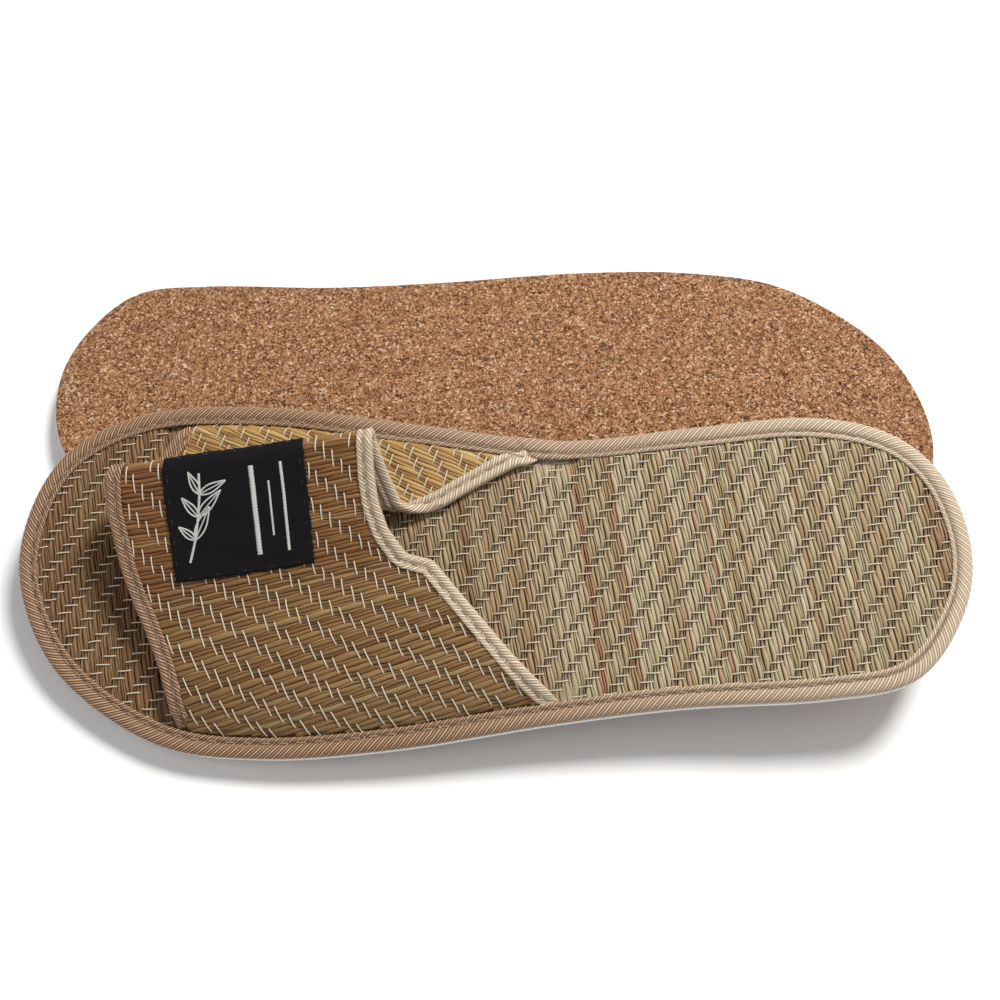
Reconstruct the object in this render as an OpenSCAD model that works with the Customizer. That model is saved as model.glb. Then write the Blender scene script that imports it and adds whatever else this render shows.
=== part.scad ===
// A pair of woven rush spa slippers with cork soles.
// One lies right side up, tilted against the other, which lies on its collapsed upper with its sole up.
// Each slipper is drawn once, flat, in its own frame: toe tip at x = 0, heel towards +x, big toe side
// towards +y, underside of the cork at z = 0. The pair is laid out at the end of the file.

/* [Slipper] */
// Length of one slipper over its edge binding
slipper_l = 282.5; // [265:0.5:300]
// Width of one slipper across the ball of the foot
slipper_w = 107; // [100:1:114]

/* [Sole layers] */
// Thickness of the cork outsole
cork_t = 2; // [1.5:0.1:3]
// Thickness of the white foam midsole
foam_t = 3.2; // [2:0.1:5]
// Thickness of the insole's backing board
backing_t = 1.4; // [1:0.1:2.5]
// Thickness of the woven rush insole
insole_t = 2; // [2:0.1:3]
// How far the cork stands in from the foam's edge
cork_inset = 0.9; // [0.3:0.1:2]

/* [Binding tape] */
// Thickness of the cotton twill tape
tape_t = 0.5; // [0.3:0.1:0.6]
// Width of the tape on top of the sole
sole_tape_w = 6; // [5:0.5:7]
// Width of the tape on each face of the upper
upper_tape_w = 4.2; // [3:0.1:5]

/* [Upper] */
// Thickness of the woven rush in the upper
upper_t = 1.3; // [0.8:0.1:1.4]
// Thickness of the cotton lining
lining_t = 0.4; // [0.2:0.1:0.5]
// Height of the fold's ridge above the insole on the slipper that lies right side up
ridge_h = 23.5; // [18:0.5:28]
// Height of the soft crease between the side panel and the label panel
crease_h = 8; // [5:0.5:12]

/* [Label] */
// Length of the cloth label along the slipper
label_l = 41; // [30:1:44]
// Width of the cloth label across the slipper
label_w = 36; // [25:1:37]
// Thickness of the cloth label
label_t = 0.5; // [0.3:0.1:0.5]

/* [Stitches] */
// Distance from one stitch to the next
stitch_pitch = 5.2; // [4:0.1:7]
// Length of one stitch
stitch_l = 3; // [2:0.1:3.2]
// Width of the sewing thread
thread_w = 0.5; // [0.3:0.1:0.7]
// Height of a stitch above the cloth
thread_h = 0.3; // [0.2:0.05:0.4]
// Length of one tack stitch on the label
tack_l = 1.4; // [1:0.1:2]

/* [How the pair lies] */
// Roll of the slipper that lies right side up, far edge raised
left_roll = 10.4; // [9:0.1:12]
// Rise of its heel
left_rise = 4.2; // [3.8:0.1:6]
// Rise of the toe of the slipper that lies upside down
right_rise = 2.8; // [2.8:0.05:4]
// Turn of the slipper that lies upside down, seen from above
right_turn = -4.9; // [-6:0.1:0]
// How far the upside-down slipper's middle line lies behind the other's, at its heel
right_offset = 65; // [64:0.5:70]

/* [Hidden] */

LEFT = 0;
RIGHT = 1;
SIDE_BIG_TOE = 1;
SIDE_LITTLE_TOE = -1;
GAP = 0.05;      // clearance between sewn layers
TAPE_GAP = 0.1;  // clearance between the upper and the tape folded over its edge
MARGIN_OUT = 1.5;    // the upper's seam margin runs from here...
MARGIN_IN = 6.2;     // ...to here, measured in from the binding's edge
RISER = 9.5;         // where the upper has risen clear of the sole's tape
REBATE_W = 12;       // width of the rebate in the insole that takes the seam margin
REBATE_END = 7;      // how far the rebate runs on past the upper's edges
MARGIN_THIN = 0.3;   // the pressed seam margin's share of the full thickness
SCALE_X = slipper_l / 285;
SCALE_Y = slipper_w / 107;

// Heights of the layers above the underside of the cork
z_foam = cork_t;
z_tape = cork_t + foam_t;
z_backing = z_tape + tape_t;
z_mat = z_backing + backing_t;
z_flange = z_mat + insole_t;
z_top = z_flange + tape_t;

// ---- Sole outline: a closed curve through twenty points, from the toe tip round by the big toe ----
OUTLINE = [[0, 3], [9.5, 34], [36, 49], [75, 50], [121, 43], [166, 36], [206, 38.5], [240, 40.5],
    [264, 35], [279, 21], [285, 0], [281, -20], [266, -38.5], [240, -43.5], [200, -45],
    [161, -49], [117, -55], [77, -57], [44, -51.5], [13, -29]];
SPAN_STEPS = 6;

function curve(a, b, c, d, t) =
    0.5 * (2 * b + (c - a) * t + (2 * a - 5 * b + 4 * c - d) * t * t + (3 * b - a - 3 * c + d) * t * t * t);
function closed_curve(p, steps) = let (n = len(p))
    [for (i = [0:n - 1], k = [0:steps - 1])
        curve(p[(i + n - 1) % n], p[i], p[(i + 1) % n], p[(i + 2) % n], k / steps)];
function unit(v) = v / norm(v);
// The same loop moved inwards by d
function inset(p, d) = let (n = len(p))
    [for (i = [0:n - 1]) let (u = unit(p[(i + 1) % n] - p[(i + n - 1) % n])) p[i] + d * [u.y, -u.x]];
EDGE = closed_curve([for (p = OUTLINE) [p.x * SCALE_X, p.y * SCALE_Y]], SPAN_STEPS);
// y of one long side of the loop, moved inwards by d, as a table of [x, y]
function side_table(d, side) =
    [for (p = inset(EDGE, d)) if (p.y * side > 5 && p.x > 20 && p.x < slipper_l - 20) p];
SIDES = [for (d = [MARGIN_OUT, MARGIN_IN, RISER])
    [side_table(d, SIDE_LITTLE_TOE), side_table(d, SIDE_BIG_TOE)]];

// ---- The collapsed upper: a belt that runs over round folds, from the little toe side across ----
// A fold is [[y, h], r]: its centre in a section across the slipper, h above the insole's tape, and
// its radius, positive where the belt turns up round it and negative where it turns down over it.
N_FOLDS = 9;
margin_h = -tape_t - GAP - upper_t * MARGIN_THIN;
insole_h = -tape_t;
far_h = insole_h + lining_t + tape_t + 2 * GAP + TAPE_GAP;   // the far panel's rush, lying on the insole
function at(x, x0, v0, x1, v1) = v0 + (v1 - v0) * (x - x0) / (x1 - x0);
// A height that keeps the right slipper's label panel level with the table
function level_h(x) = (slipper_l - x) * tan(right_rise) - upper_t - max(label_t + GAP, tape_t + TAPE_GAP) - GAP;
function crease_fold(x, s) = s == LEFT
    ? [[at(x, 44.5, -14, 122, -4) * SCALE_Y, crease_h + 10], 10]
    : [[at(x, 44.5, -13, 122, -4) * SCALE_Y, level_h(x) - 10], -10];
function ridge_fold(x, s) = s == LEFT
    ? [[at(x, 36, 22, 110, 30) * SCALE_Y, at(x, 36, ridge_h - 1, 110, ridge_h) - upper_t - 3], -3]
    : [[at(x, 36, 27, 110, 34) * SCALE_Y, level_h(x) - 1.1], -1.1];
function valley_fold(x, s) = s == LEFT
    ? [[at(x, 36, 25, 125, 16.5) * SCALE_Y, far_h + 2.9], 2.6]
    : [[at(x, 36, 24, 125, 17) * SCALE_Y, far_h + 2.1], 2.1];
function edge_fold(x, k, side, dh, r) = [[lookup(x, SIDES[k][side]), margin_h + dh], r];
// The side panel swells up out of its seam, except where the slipper's own weight presses it flat
function side_fold(x, s) = s == LEFT
    ? [[lookup(x, SIDES[1][0]) + 17, 5.5 - 22], -22]
    : edge_fold(x, 2, 0, far_h - margin_h - 1.7, -1.5);
function folds(x, s) = [
    edge_fold(x, 0, 0, 0, 0),
    edge_fold(x, 1, 0, 1.5, 1.5),
    side_fold(x, s),
    crease_fold(x, s),
    ridge_fold(x, s),
    valley_fold(x, s),
    edge_fold(x, 2, 1, far_h - margin_h - 1.5, -1.5),
    edge_fold(x, 1, 1, 1.5, 1.5),
    edge_fold(x, 0, 1, 0, 0)];
// Heading of the straight run from one fold to the next
function heading(a, b) = let (d = b[0] - a[0]) atan2(d.y, d.x) - asin((b[1] - a[1]) / norm(d));
function fold_point(f, angle) = f[0] - f[1] * [-sin(angle), cos(angle)];

// Stations along the belt: [fold, share of its arc], or [fold + 0.5, share of the run after it]
ARC_STEPS = [0, 3, 6, 3, 9, 7, 3, 3, 0];
RUN_STEPS = [1, 1, 4, 7, 4, 4, 1, 1];
STATIONS = [for (k = [0:N_FOLDS - 1]) each concat(
    [for (i = [0:ARC_STEPS[k]]) [k, ARC_STEPS[k] == 0 ? 0 : i / ARC_STEPS[k]]],
    k == N_FOLDS - 1 ? [] : [for (i = [1:1:RUN_STEPS[k] - 1]) [k + 0.5, i / RUN_STEPS[k]]])];
N_ST = len(STATIONS);
// How far along the run of the folds a station comes: fold k's arc is 2k to 2k + 1, the run after it
// 2k + 1 to 2k + 2
function place(st) = 2 * floor(st[0]) + (st[0] == floor(st[0]) ? 0 : 1) + st[1];
// The section of the belt at x: [y, h, normal y, normal h]
function section(x, s, st) = let (
        f = folds(x, s),
        k = floor(st[0]),
        before = k == 0 ? heading(f[0], f[1]) : heading(f[k - 1], f[k]),
        after = k == N_FOLDS - 1 ? before : heading(f[k], f[k + 1]),
        angle = st[0] == k ? before + (after - before) * st[1] : after,
        a = fold_point(f[k], angle),
        b = st[0] == k ? a : fold_point(f[k + 1], angle),
        p = a + (b - a) * (st[0] == k ? 0 : st[1]))
    [p.x, p.y, -sin(angle), cos(angle)];

// Where the upper's front and throat edges are cut, as [place, x]; the throat's for the left and the right
// slipper, because the side panel's bend is long on the left one and short on the right one
FRONT_CUT = [[0, 54], [3, 53], [4, 51.5], [5, 49.3], [6, 41], [7, 40.5], [7.25, 38], [7.5, 36.5], [7.75, 35],
    [8, 35], [9, 35.7], [11, 37], [12, 48.5], [13, 49.5], [14, 51], [17, 51]];
THROAT_CUT = [
    [[0, 164], [3, 163], [4, 157.5], [5, 152], [6, 128.5], [7, 120.7], [7.25, 115.7], [7.5, 113.3], [7.75, 112.5],
        [9, 112.5], [9.5, 116], [10, 122], [11, 126], [12, 153.5], [13, 155], [14, 158], [17, 160]],
    [[0, 163], [3, 163], [4, 159], [5, 158.5], [6, 128.5], [7, 120.7], [7.25, 115.7], [7.5, 113.3], [7.75, 112.5],
        [9, 112.5], [9.5, 116], [10, 123], [11, 124.5], [12, 153.5], [13, 154.5], [14, 158], [17, 160]]];
function cut_x(s, st, t) =
    SCALE_X * (lookup(place(st), FRONT_CUT) * (1 - t) + lookup(place(st), THROAT_CUT[s]) * t);
// A point of the sheet between rush and lining, moved off along the normal by n
function upper_point(s, i, t, n) = let (
        x = cut_x(s, STATIONS[i], t),
        q = section(x, s, STATIONS[i]))
    [x, q[0] + n * q[2], z_top + q[1] + n * q[3]];
function upper_normal(s, i, t) = unit(upper_point(s, i, t, 1) - upper_point(s, i, t, 0));
// The sheet's share of its full thickness: pressed thin in the seam, full from the first bend on
function thickness_share(i) = let (st = STATIONS[i])
    st[0] < 1 || st[0] > 7 || st == [1, 0] || st == [7, 1] ? MARGIN_THIN
    : st[0] == 1 || st[0] == 7 ? 0.6
    : 1;

// A closed solid between two grids of points, each rows of columns
module slab(lower, upper) {
    rows = len(lower);
    cols = len(lower[0]);
    all = rows * cols;
    function id(i, j) = i * cols + j;
    points = concat([for (r = lower) each r], [for (r = upper) each r]);
    faces = concat(
        [for (i = [0:rows - 2], j = [0:cols - 2])
            each [[id(i, j), id(i + 1, j), id(i + 1, j + 1)], [id(i, j), id(i + 1, j + 1), id(i, j + 1)]]],
        [for (i = [0:rows - 2], j = [0:cols - 2])
            each [[all + id(i, j), all + id(i + 1, j + 1), all + id(i + 1, j)],
                [all + id(i, j), all + id(i, j + 1), all + id(i + 1, j + 1)]]],
        [for (i = [0:rows - 2], j = [0, cols - 1]) let (a = id(i, j), b = id(i + 1, j))
            each (j == 0 ? [[a, all + a, all + b], [a, all + b, b]] : [[a, b, all + b], [a, all + b, all + a]])],
        [for (j = [0:cols - 2], i = [0, rows - 1]) let (a = id(i, j), b = id(i, j + 1))
            each (i == 0 ? [[a, b, all + b], [a, all + b, all + a]] : [[a, all + a, all + b], [a, all + b, b]])]);
    polyhedron(points, faces, convexity = 8);
}

T_STEPS = 10;
function sheet(s, level, depth) =
    [for (i = [0:N_ST - 1]) [for (j = [0:T_STEPS]) upper_point(s, i, j / T_STEPS, level + depth * thickness_share(i))]];

module upper_mat(s) {
    color([0.60, 0.45, 0.29]) slab(sheet(s, 0, 0), sheet(s, 0, upper_t));
}

module upper_lining(s) {
    color([0.85, 0.80, 0.70]) slab(sheet(s, -GAP, -lining_t), sheet(s, -GAP, 0));
}

// ---- Tapes on the upper's edges: a U section carried along the cut edge ----
TAPE_FIRST = 5;
TAPE_LAST = N_ST - 6;
// A point at a distance in from the cut edge t, along the sheet's first step from that edge
function edge_point(s, i, t, distance, n) = let (
        next = t == 0 ? 1 / T_STEPS : 1 - 1 / T_STEPS,
        share = distance / norm(upper_point(s, i, next, 0) - upper_point(s, i, t, 0)))
    upper_point(s, i, t, n) * (1 - share) + upper_point(s, i, next, n) * share;
function u_section(f) = let (
        w = upper_tape_w,
        top = upper_t * f + TAPE_GAP,
        bottom = -lining_t * f - GAP - TAPE_GAP)
    [[w, top + tape_t], [-tape_t, top + tape_t], [-tape_t, bottom - tape_t], [w, bottom - tape_t],
        [w, bottom], [-GAP, bottom], [-GAP, top], [w, top]];
function tape_ring(s, i, t) =
    [for (q = u_section(thickness_share(i))) edge_point(s, i, t, q.x, q.y)];

module upper_tape(s, t) {
    rings = [for (i = [TAPE_FIRST:TAPE_LAST]) tape_ring(s, i, t)];
    last = len(rings) - 1;
    flip = t == 0;
    function id(i, k) = i * 8 + k % 8;
    function turned(f) = flip ? [f[2], f[1], f[0]] : f;
    // The walls that run along the sheet are split the way the sheet's own cells are
    crossed = flip ? 0 : 2;
    walls = [for (i = [0:last - 1], k = [0:7])
        each k % 4 == crossed
            ? [[id(i, k), id(i, k + 1), id(i + 1, k)], [id(i, k + 1), id(i + 1, k + 1), id(i + 1, k)]]
            : [[id(i, k), id(i, k + 1), id(i + 1, k + 1)], [id(i, k), id(i + 1, k + 1), id(i + 1, k)]]];
    cap = [[0, 7, 6], [0, 6, 1], [1, 6, 5], [1, 5, 2], [2, 5, 4], [2, 4, 3]];
    ends = concat(cap, [for (f = cap) [last * 8 + f[0], last * 8 + f[2], last * 8 + f[1]]]);
    color([0.80, 0.70, 0.57])
        polyhedron([for (r = rings) each r], [for (f = concat(walls, ends)) turned(f)], convexity = 8);
}

// ---- Stitches ----
STITCH_LIFT = 0.2;       // clearance under a stitch on the upper's tapes
NEARLY_STRAIGHT = 0.97; // cosine of the most the tape may bend round a stitch that shows; past it the thread is buried
// Running length up to each point of a path
function run_lengths(p) = [for (i = 0, s = 0; i < len(p); i = i + 1, s = s + (i < len(p) ? norm(p[i] - p[i - 1]) : 0)) s];
function table(lengths, p, axis) = [for (i = [0:len(p) - 1]) [lengths[i], p[i][axis]]];
function along(s, tables) = [for (t = tables) lookup(s, t)];

// Placing along three axes of unit length
module place_on(origin, ex, n) {
    ey = cross(n, ex);
    multmatrix([[ex.x, ey.x, n.x, origin.x], [ex.y, ey.y, n.y, origin.y], [ex.z, ey.z, n.z, origin.z], [0, 0, 0, 1]])
        children();
}

// One stitch: a short flat length of thread that lies on the xy plane
module stitch(l = stitch_l) {
    translate([-l / 2, -thread_w / 2, 0])
        cube([l, thread_w, thread_h]);
}

module sole_stitching() {
    loop = inset(EDGE, sole_tape_w - 1.6);
    path = concat(loop, [loop[0]]);
    lengths = run_lengths(path);
    tables = [table(lengths, path, 0), table(lengths, path, 1)];
    total = lengths[len(lengths) - 1];
    count = floor(total / stitch_pitch);
    color([0.72, 0.62, 0.50])
        for (k = [0:count - 1]) {
            s = (k + 0.5) * total / count;
            p = along(s, tables);
            q = along(s + 0.5, tables);
            translate([p.x, p.y, z_top])
                rotate([0, 0, atan2(q.y - p.y, q.x - p.x)])
                    stitch();
        }
}

module upper_stitching(s, t) {
    first = TAPE_FIRST + 2;
    last = TAPE_LAST - 2;
    lift = upper_t + GAP + tape_t + STITCH_LIFT;
    path = [for (i = [first:last]) edge_point(s, i, t, upper_tape_w / 2, lift)];
    normals = [for (i = [first:last]) upper_normal(s, i, t)];
    lengths = run_lengths(path);
    tables = [for (a = [0:2]) table(lengths, path, a)];
    normal_tables = [for (a = [0:2]) table(lengths, normals, a)];
    total = lengths[len(lengths) - 1];
    count = floor(total / stitch_pitch);
    color([0.72, 0.62, 0.50])
        for (k = [0:count - 1]) {
            d = (k + 0.5) * total / count;
            half = stitch_l * 0.4;
            ex = unit(along(d + half, tables) - along(d - half, tables));
            side = unit(cross(unit(along(d, normal_tables)), ex));
            bend = unit(along(d + 2 * half, normal_tables)) * unit(along(d - 2 * half, normal_tables));
            if (bend > NEARLY_STRAIGHT)
                place_on(along(d, tables), ex, cross(ex, side))
                    stitch(2 * half);
        }
}

// ---- Label ----
// The station half way up the label panel, and how far along the upper the label's middle lies
LABEL_PLACE = 3.5;
LABEL_T = 0.47;
function panel_point(s, p, t, n) = let (
        x = at(t, 0, 39.5, 1, 107.5) * SCALE_X,
        q = section(x, s, [p < 4 ? 3.5 : 4, p - 3]))
    [x, q[0] + n * q[2], z_top + q[1] + n * q[3]];
module on_label_panel(s) {
    o = panel_point(s, LABEL_PLACE, LABEL_T, 0);
    along_slipper = unit(panel_point(s, LABEL_PLACE, LABEL_T + 0.1, 0) - o);
    across = unit(panel_point(s, LABEL_PLACE + 0.1, LABEL_T, 0) - o);
    n = unit(cross(along_slipper, across));
    place_on(o + n * (upper_t + (s == LEFT ? 0.25 : GAP)), along_slipper, n)
        children();
}

// Where the tack stitches lie round the label: along two sides and then along the other two
module tacks() {
    for (side = [-1, 1], k = [-2:2]) {
        translate([k * label_l / 5.2, side * (label_w / 2 - 1.5), 0])
            children();
        translate([side * (label_l / 2 - 1.8), k * label_w / 6, 0])
            rotate([0, 0, 90])
                children();
    }
}

// The tack stitches pull down into the cloth, so each has its own dent in it
module label(s) {
    color([0.13, 0.12, 0.12])
        on_label_panel(s)
            difference() {
                linear_extrude(label_t)
                    polygon([[-label_l / 2, -label_w / 2 + 0.6], [-label_l / 2 + 0.6, -label_w / 2],
                        [label_l / 2, -label_w / 2 + 0.3], [label_l / 2 - 0.4, label_w / 2 - 0.5],
                        [label_l / 2 - 1, label_w / 2], [-label_l / 2 + 0.3, label_w / 2 - 0.2]]);
                tacks()
                    translate([-tack_l / 2 - GAP, -thread_w / 2 - GAP, label_t - thread_h])
                        cube([tack_l + 2 * GAP, thread_w + 2 * GAP, 2 * thread_h]);
            }
}

module label_stitching(s) {
    color([0.08, 0.08, 0.08])
        on_label_panel(s)
            tacks()
                translate([-tack_l / 2, -thread_w / 2, label_t - thread_h])
                    cube([tack_l, thread_w, thread_h]);
}

// ---- Sole ----
module plate(d, z, t) {
    translate([0, 0, z])
        linear_extrude(t)
            polygon(inset(EDGE, d));
}

module cork_outsole() {
    color([0.68, 0.50, 0.36]) plate(cork_inset, 0, cork_t);
}

module foam_midsole() {
    color([0.92, 0.91, 0.88]) plate(0, z_foam, foam_t);
}

// The board fills the middle of the tape's lower flange and lies over the flange at its edge
module insole_backing() {
    color([0.80, 0.74, 0.62]) {
        plate(sole_tape_w + 2, z_tape, tape_t + 0.01);
        plate(tape_t + 0.3, z_backing, backing_t);
    }
}

// A band along both long sides, where the upper's margin and its taped edges go down into the seam
module rebate() {
    x0 = lookup(14, FRONT_CUT) * SCALE_X - REBATE_END;
    x1 = THROAT_CUT[LEFT][1][1] * SCALE_X + REBATE_END;
    translate([0, 0, z_mat + 0.2])
        linear_extrude(insole_t)
            intersection() {
                difference() {
                    polygon(inset(EDGE, MARGIN_OUT - 0.5));
                    polygon(inset(EDGE, REBATE_W));
                }
                translate([x0, -slipper_w])
                    square([x1 - x0, 2 * slipper_w]);
            }
}

module insole_mat() {
    color([0.63, 0.56, 0.45])
        difference() {
            plate(tape_t + 0.3, z_mat, insole_t);
            rebate();
        }
}

module ring(d0, d1, z, t) {
    difference() {
        plate(d0, z, t);
        plate(d1, z - 1, t + 2);
    }
}

module sole_binding() {
    color([0.80, 0.70, 0.57]) {
        ring(0.3, sole_tape_w + 1.6, z_tape, tape_t);
        ring(0, tape_t, z_tape + 0.3, z_top - z_tape - 0.6);
        ring(0.3, sole_tape_w, z_flange, tape_t);
    }
}

// ---- The pair on the table ----
PIVOT = [75, -60, 0];
function rot_x(v, a) = [v.x, v.y * cos(a) - v.z * sin(a), v.y * sin(a) + v.z * cos(a)];
function rot_y(v, a) = [v.x * cos(a) + v.z * sin(a), v.y, -v.x * sin(a) + v.z * cos(a)];
function rot_z(v, a) = [v.x * cos(a) - v.y * sin(a), v.x * sin(a) + v.y * cos(a), v.z];
function lay_left(v) = rot_y(rot_x(v - PIVOT, left_roll), -left_rise) + PIVOT;
function lay_right(v) = rot_z(rot_y([slipper_l - v.x, -v.y, z_top - v.z], -right_rise), right_turn) + [-0.8, right_offset, 0];
left_lift = -min([for (p = inset(EDGE, cork_inset)) lay_left([p.x, p.y, 0]).z]);
right_lift = -min([for (p = inset(EDGE, 0.3)) lay_right([p.x, p.y, z_top]).z]);
ALL = concat([for (p = EDGE) lay_left([p.x, p.y, z_top])], [for (p = EDGE) lay_left([p.x, p.y, z_foam])],
    [for (p = EDGE) lay_right([p.x, p.y, z_foam])]);
mid_x = (min([for (p = ALL) p.x]) + max([for (p = ALL) p.x])) / 2;
mid_y = (min([for (p = ALL) p.y]) + max([for (p = ALL) p.y])) / 2;

module left() {
    translate([-mid_x, -mid_y, left_lift])
        translate(PIVOT)
            rotate([left_roll, -left_rise, 0])
                translate(-PIVOT)
                    children();
}

// The right slipper is the left one mirrored and turned over, toe the other way
module right() {
    translate([-mid_x - 0.8, -mid_y + right_offset, right_lift])
        rotate([0, -right_rise, right_turn])
            translate([slipper_l, 0, z_top])
                rotate([0, 180, 0])
                    mirror([0, 1, 0])
                        children();
}

left() cork_outsole();  // left_cork_outsole
left() foam_midsole();  // left_foam_midsole
left() insole_backing();  // left_insole_backing
left() insole_mat();  // left_insole_mat
left() sole_binding();  // left_sole_binding
left() sole_stitching();  // left_sole_stitching
left() upper_mat(LEFT);  // left_upper_mat
left() upper_lining(LEFT);  // left_upper_lining
left() upper_tape(LEFT, 0);  // left_toe_binding
left() upper_stitching(LEFT, 0);  // left_toe_stitching
left() upper_tape(LEFT, 1);  // left_throat_binding
left() upper_stitching(LEFT, 1);  // left_throat_stitching
left() label(LEFT);  // left_label
left() label_stitching(LEFT);  // left_label_stitching
right() cork_outsole();  // right_cork_outsole
right() foam_midsole();  // right_foam_midsole
right() insole_backing();  // right_insole_backing
right() insole_mat();  // right_insole_mat
right() sole_binding();  // right_sole_binding
right() sole_stitching();  // right_sole_stitching
right() upper_mat(RIGHT);  // right_upper_mat
right() upper_lining(RIGHT);  // right_upper_lining
right() upper_tape(RIGHT, 0);  // right_toe_binding
right() upper_stitching(RIGHT, 0);  // right_toe_stitching
right() upper_tape(RIGHT, 1);  // right_throat_binding
right() upper_stitching(RIGHT, 1);  // right_throat_stitching
right() label(RIGHT);  // right_label
right() label_stitching(RIGHT);  // right_label_stitching
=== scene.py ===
"""Looks of a pair of woven rush spa slippers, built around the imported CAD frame.

Lengths are in millimetres in a slipper's own frame (toe tip at x = 0, heel towards +x, big toe side
towards +y, underside of the cork at z = 0), and turn into metres in the shared frame in `to_world`.
"""
import math

import bmesh
import bpy
import numpy as np
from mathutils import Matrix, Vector


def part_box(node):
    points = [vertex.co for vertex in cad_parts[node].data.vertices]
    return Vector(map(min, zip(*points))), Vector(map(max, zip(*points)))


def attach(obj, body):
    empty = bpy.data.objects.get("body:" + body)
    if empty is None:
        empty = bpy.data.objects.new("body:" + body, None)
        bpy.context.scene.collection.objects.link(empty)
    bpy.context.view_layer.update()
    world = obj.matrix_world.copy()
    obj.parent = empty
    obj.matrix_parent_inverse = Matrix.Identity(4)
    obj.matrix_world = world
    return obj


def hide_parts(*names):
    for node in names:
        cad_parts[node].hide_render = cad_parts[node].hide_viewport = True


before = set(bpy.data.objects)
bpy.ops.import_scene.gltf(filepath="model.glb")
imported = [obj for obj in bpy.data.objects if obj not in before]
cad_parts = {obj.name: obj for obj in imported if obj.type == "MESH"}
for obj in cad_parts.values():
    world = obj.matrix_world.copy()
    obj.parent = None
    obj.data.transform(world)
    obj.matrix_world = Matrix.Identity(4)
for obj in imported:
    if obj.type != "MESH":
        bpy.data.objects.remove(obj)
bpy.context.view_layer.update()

MM = 0.001
LEFT, RIGHT = 0, 1
SIDES = (LEFT, RIGHT)
NAMES = ("left", "right")
random = np.random.default_rng(7)

# ---------------------------------------------------------------- sizes, as in the CAD source
LENGTH = 282.5
SCALE_X = LENGTH / 285
CORK_T, FOAM_T, TAPE_T, BACKING_T, INSOLE_T = 2.0, 3.2, 0.5, 1.4, 2.0
UPPER_T, LINING_T, LABEL_T, GAP, TAPE_GAP = 1.3, 0.4, 0.5, 0.05, 0.1
Z_FOAM = CORK_T
Z_TAPE = Z_FOAM + FOAM_T
Z_BACKING = Z_TAPE + TAPE_T
Z_MAT = Z_BACKING + BACKING_T
Z_FLANGE = Z_MAT + INSOLE_T
Z_TOP = Z_FLANGE + TAPE_T
CORK_INSET = 0.9
RIDGE_H, CREASE_H = 23.5, 8.0
MARGIN_OUT, MARGIN_IN, RISER = 1.5, 6.2, 9.5
MARGIN_THIN = 0.3
REBATE = (44.0, 170.0, 12.0)
LEFT_ROLL, LEFT_RISE, RIGHT_RISE, RIGHT_TURN = 10.4, 4.2, 2.8, -4.9
STITCH_PITCH, STITCH_L = 5.2, 3.0

OUTLINE = np.array([
    [0, 3], [9.5, 34], [36, 49], [75, 50], [121, 43], [166, 36], [206, 38.5], [240, 40.5],
    [264, 35], [279, 21], [285, 0], [281, -20], [266, -38.5], [240, -43.5], [200, -45],
    [161, -49], [117, -55], [77, -57], [44, -51.5], [13, -29]], float) * [SCALE_X, 1]


# ---------------------------------------------------------------- sole outline
def closed_curve(points, steps):
    """A smooth closed loop through the points."""
    a, b = np.roll(points, 1, 0)[:, None], points[:, None]
    c, d = np.roll(points, -1, 0)[:, None], np.roll(points, -2, 0)[:, None]
    t = (np.arange(steps) / steps)[None, :, None]
    loop = 2 * b + (c - a) * t + (2 * a - 5 * b + 4 * c - d) * t * t
    loop = 0.5 * (loop + (3 * b - a - 3 * c + d) * t ** 3)
    return loop.reshape(-1, 2)


def inward(points):
    """Unit normals of a loop, towards its inside."""
    u = np.roll(points, -1, 0) - np.roll(points, 1, 0)
    u /= np.linalg.norm(u, axis=1)[:, None]
    return np.column_stack([u[:, 1], -u[:, 0]])


def resampled(points, step):
    """The same loop with points an even distance apart."""
    p = np.vstack([points, points[:1]])
    s = np.concatenate([[0], np.cumsum(np.linalg.norm(np.diff(p, axis=0), axis=1))])
    n = int(round(s[-1] / step))
    at = np.arange(n) / n * s[-1]
    return np.column_stack([np.interp(at, s, p[:, 0]), np.interp(at, s, p[:, 1])])


EDGE = closed_curve(OUTLINE, 24)
EDGE_IN = inward(EDGE)
PERIMETER = float(np.linalg.norm(EDGE - np.roll(EDGE, 1, 0), axis=1).sum())


def side_table(d, side):
    """The outline set in by d along one long side, sorted by x."""
    p = EDGE + d * EDGE_IN
    keep = (p[:, 1] * side > 5) & (p[:, 0] > 20) & (p[:, 0] < LENGTH - 20)
    p = p[keep]
    return p[p[:, 0].argsort()]


SIDE_TABLES = [[side_table(d, -1), side_table(d, 1)] for d in (MARGIN_OUT, MARGIN_IN, RISER)]


class RimDistance:
    """How far in from the outline a point lies, negative outside, looked up in a 1 mm grid."""

    def __init__(self):
        self.x0, self.y0 = -6.0, -66.0
        gx, gy = np.meshgrid(np.arange(-6, 292.0), np.arange(-66, 60.0), indexing="ij")
        pts = np.stack([gx.ravel(), gy.ravel()], 1)
        rim = resampled(EDGE, 1.0)
        normal = inward(rim)
        d = np.empty(len(pts))
        for i in range(0, len(pts), 4000):
            gap = pts[i:i + 4000, None] - rim[None]
            near = (gap ** 2).sum(2).argmin(1)
            rows = np.arange(len(near))
            away = gap[rows, near]
            d[i:i + 4000] = np.sign((away * normal[near]).sum(1)) * np.linalg.norm(away, axis=1)
        self.grid = d.reshape(gx.shape)

    def __call__(self, x, y):
        return bilinear(self.grid, x - self.x0, y - self.y0)


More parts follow.
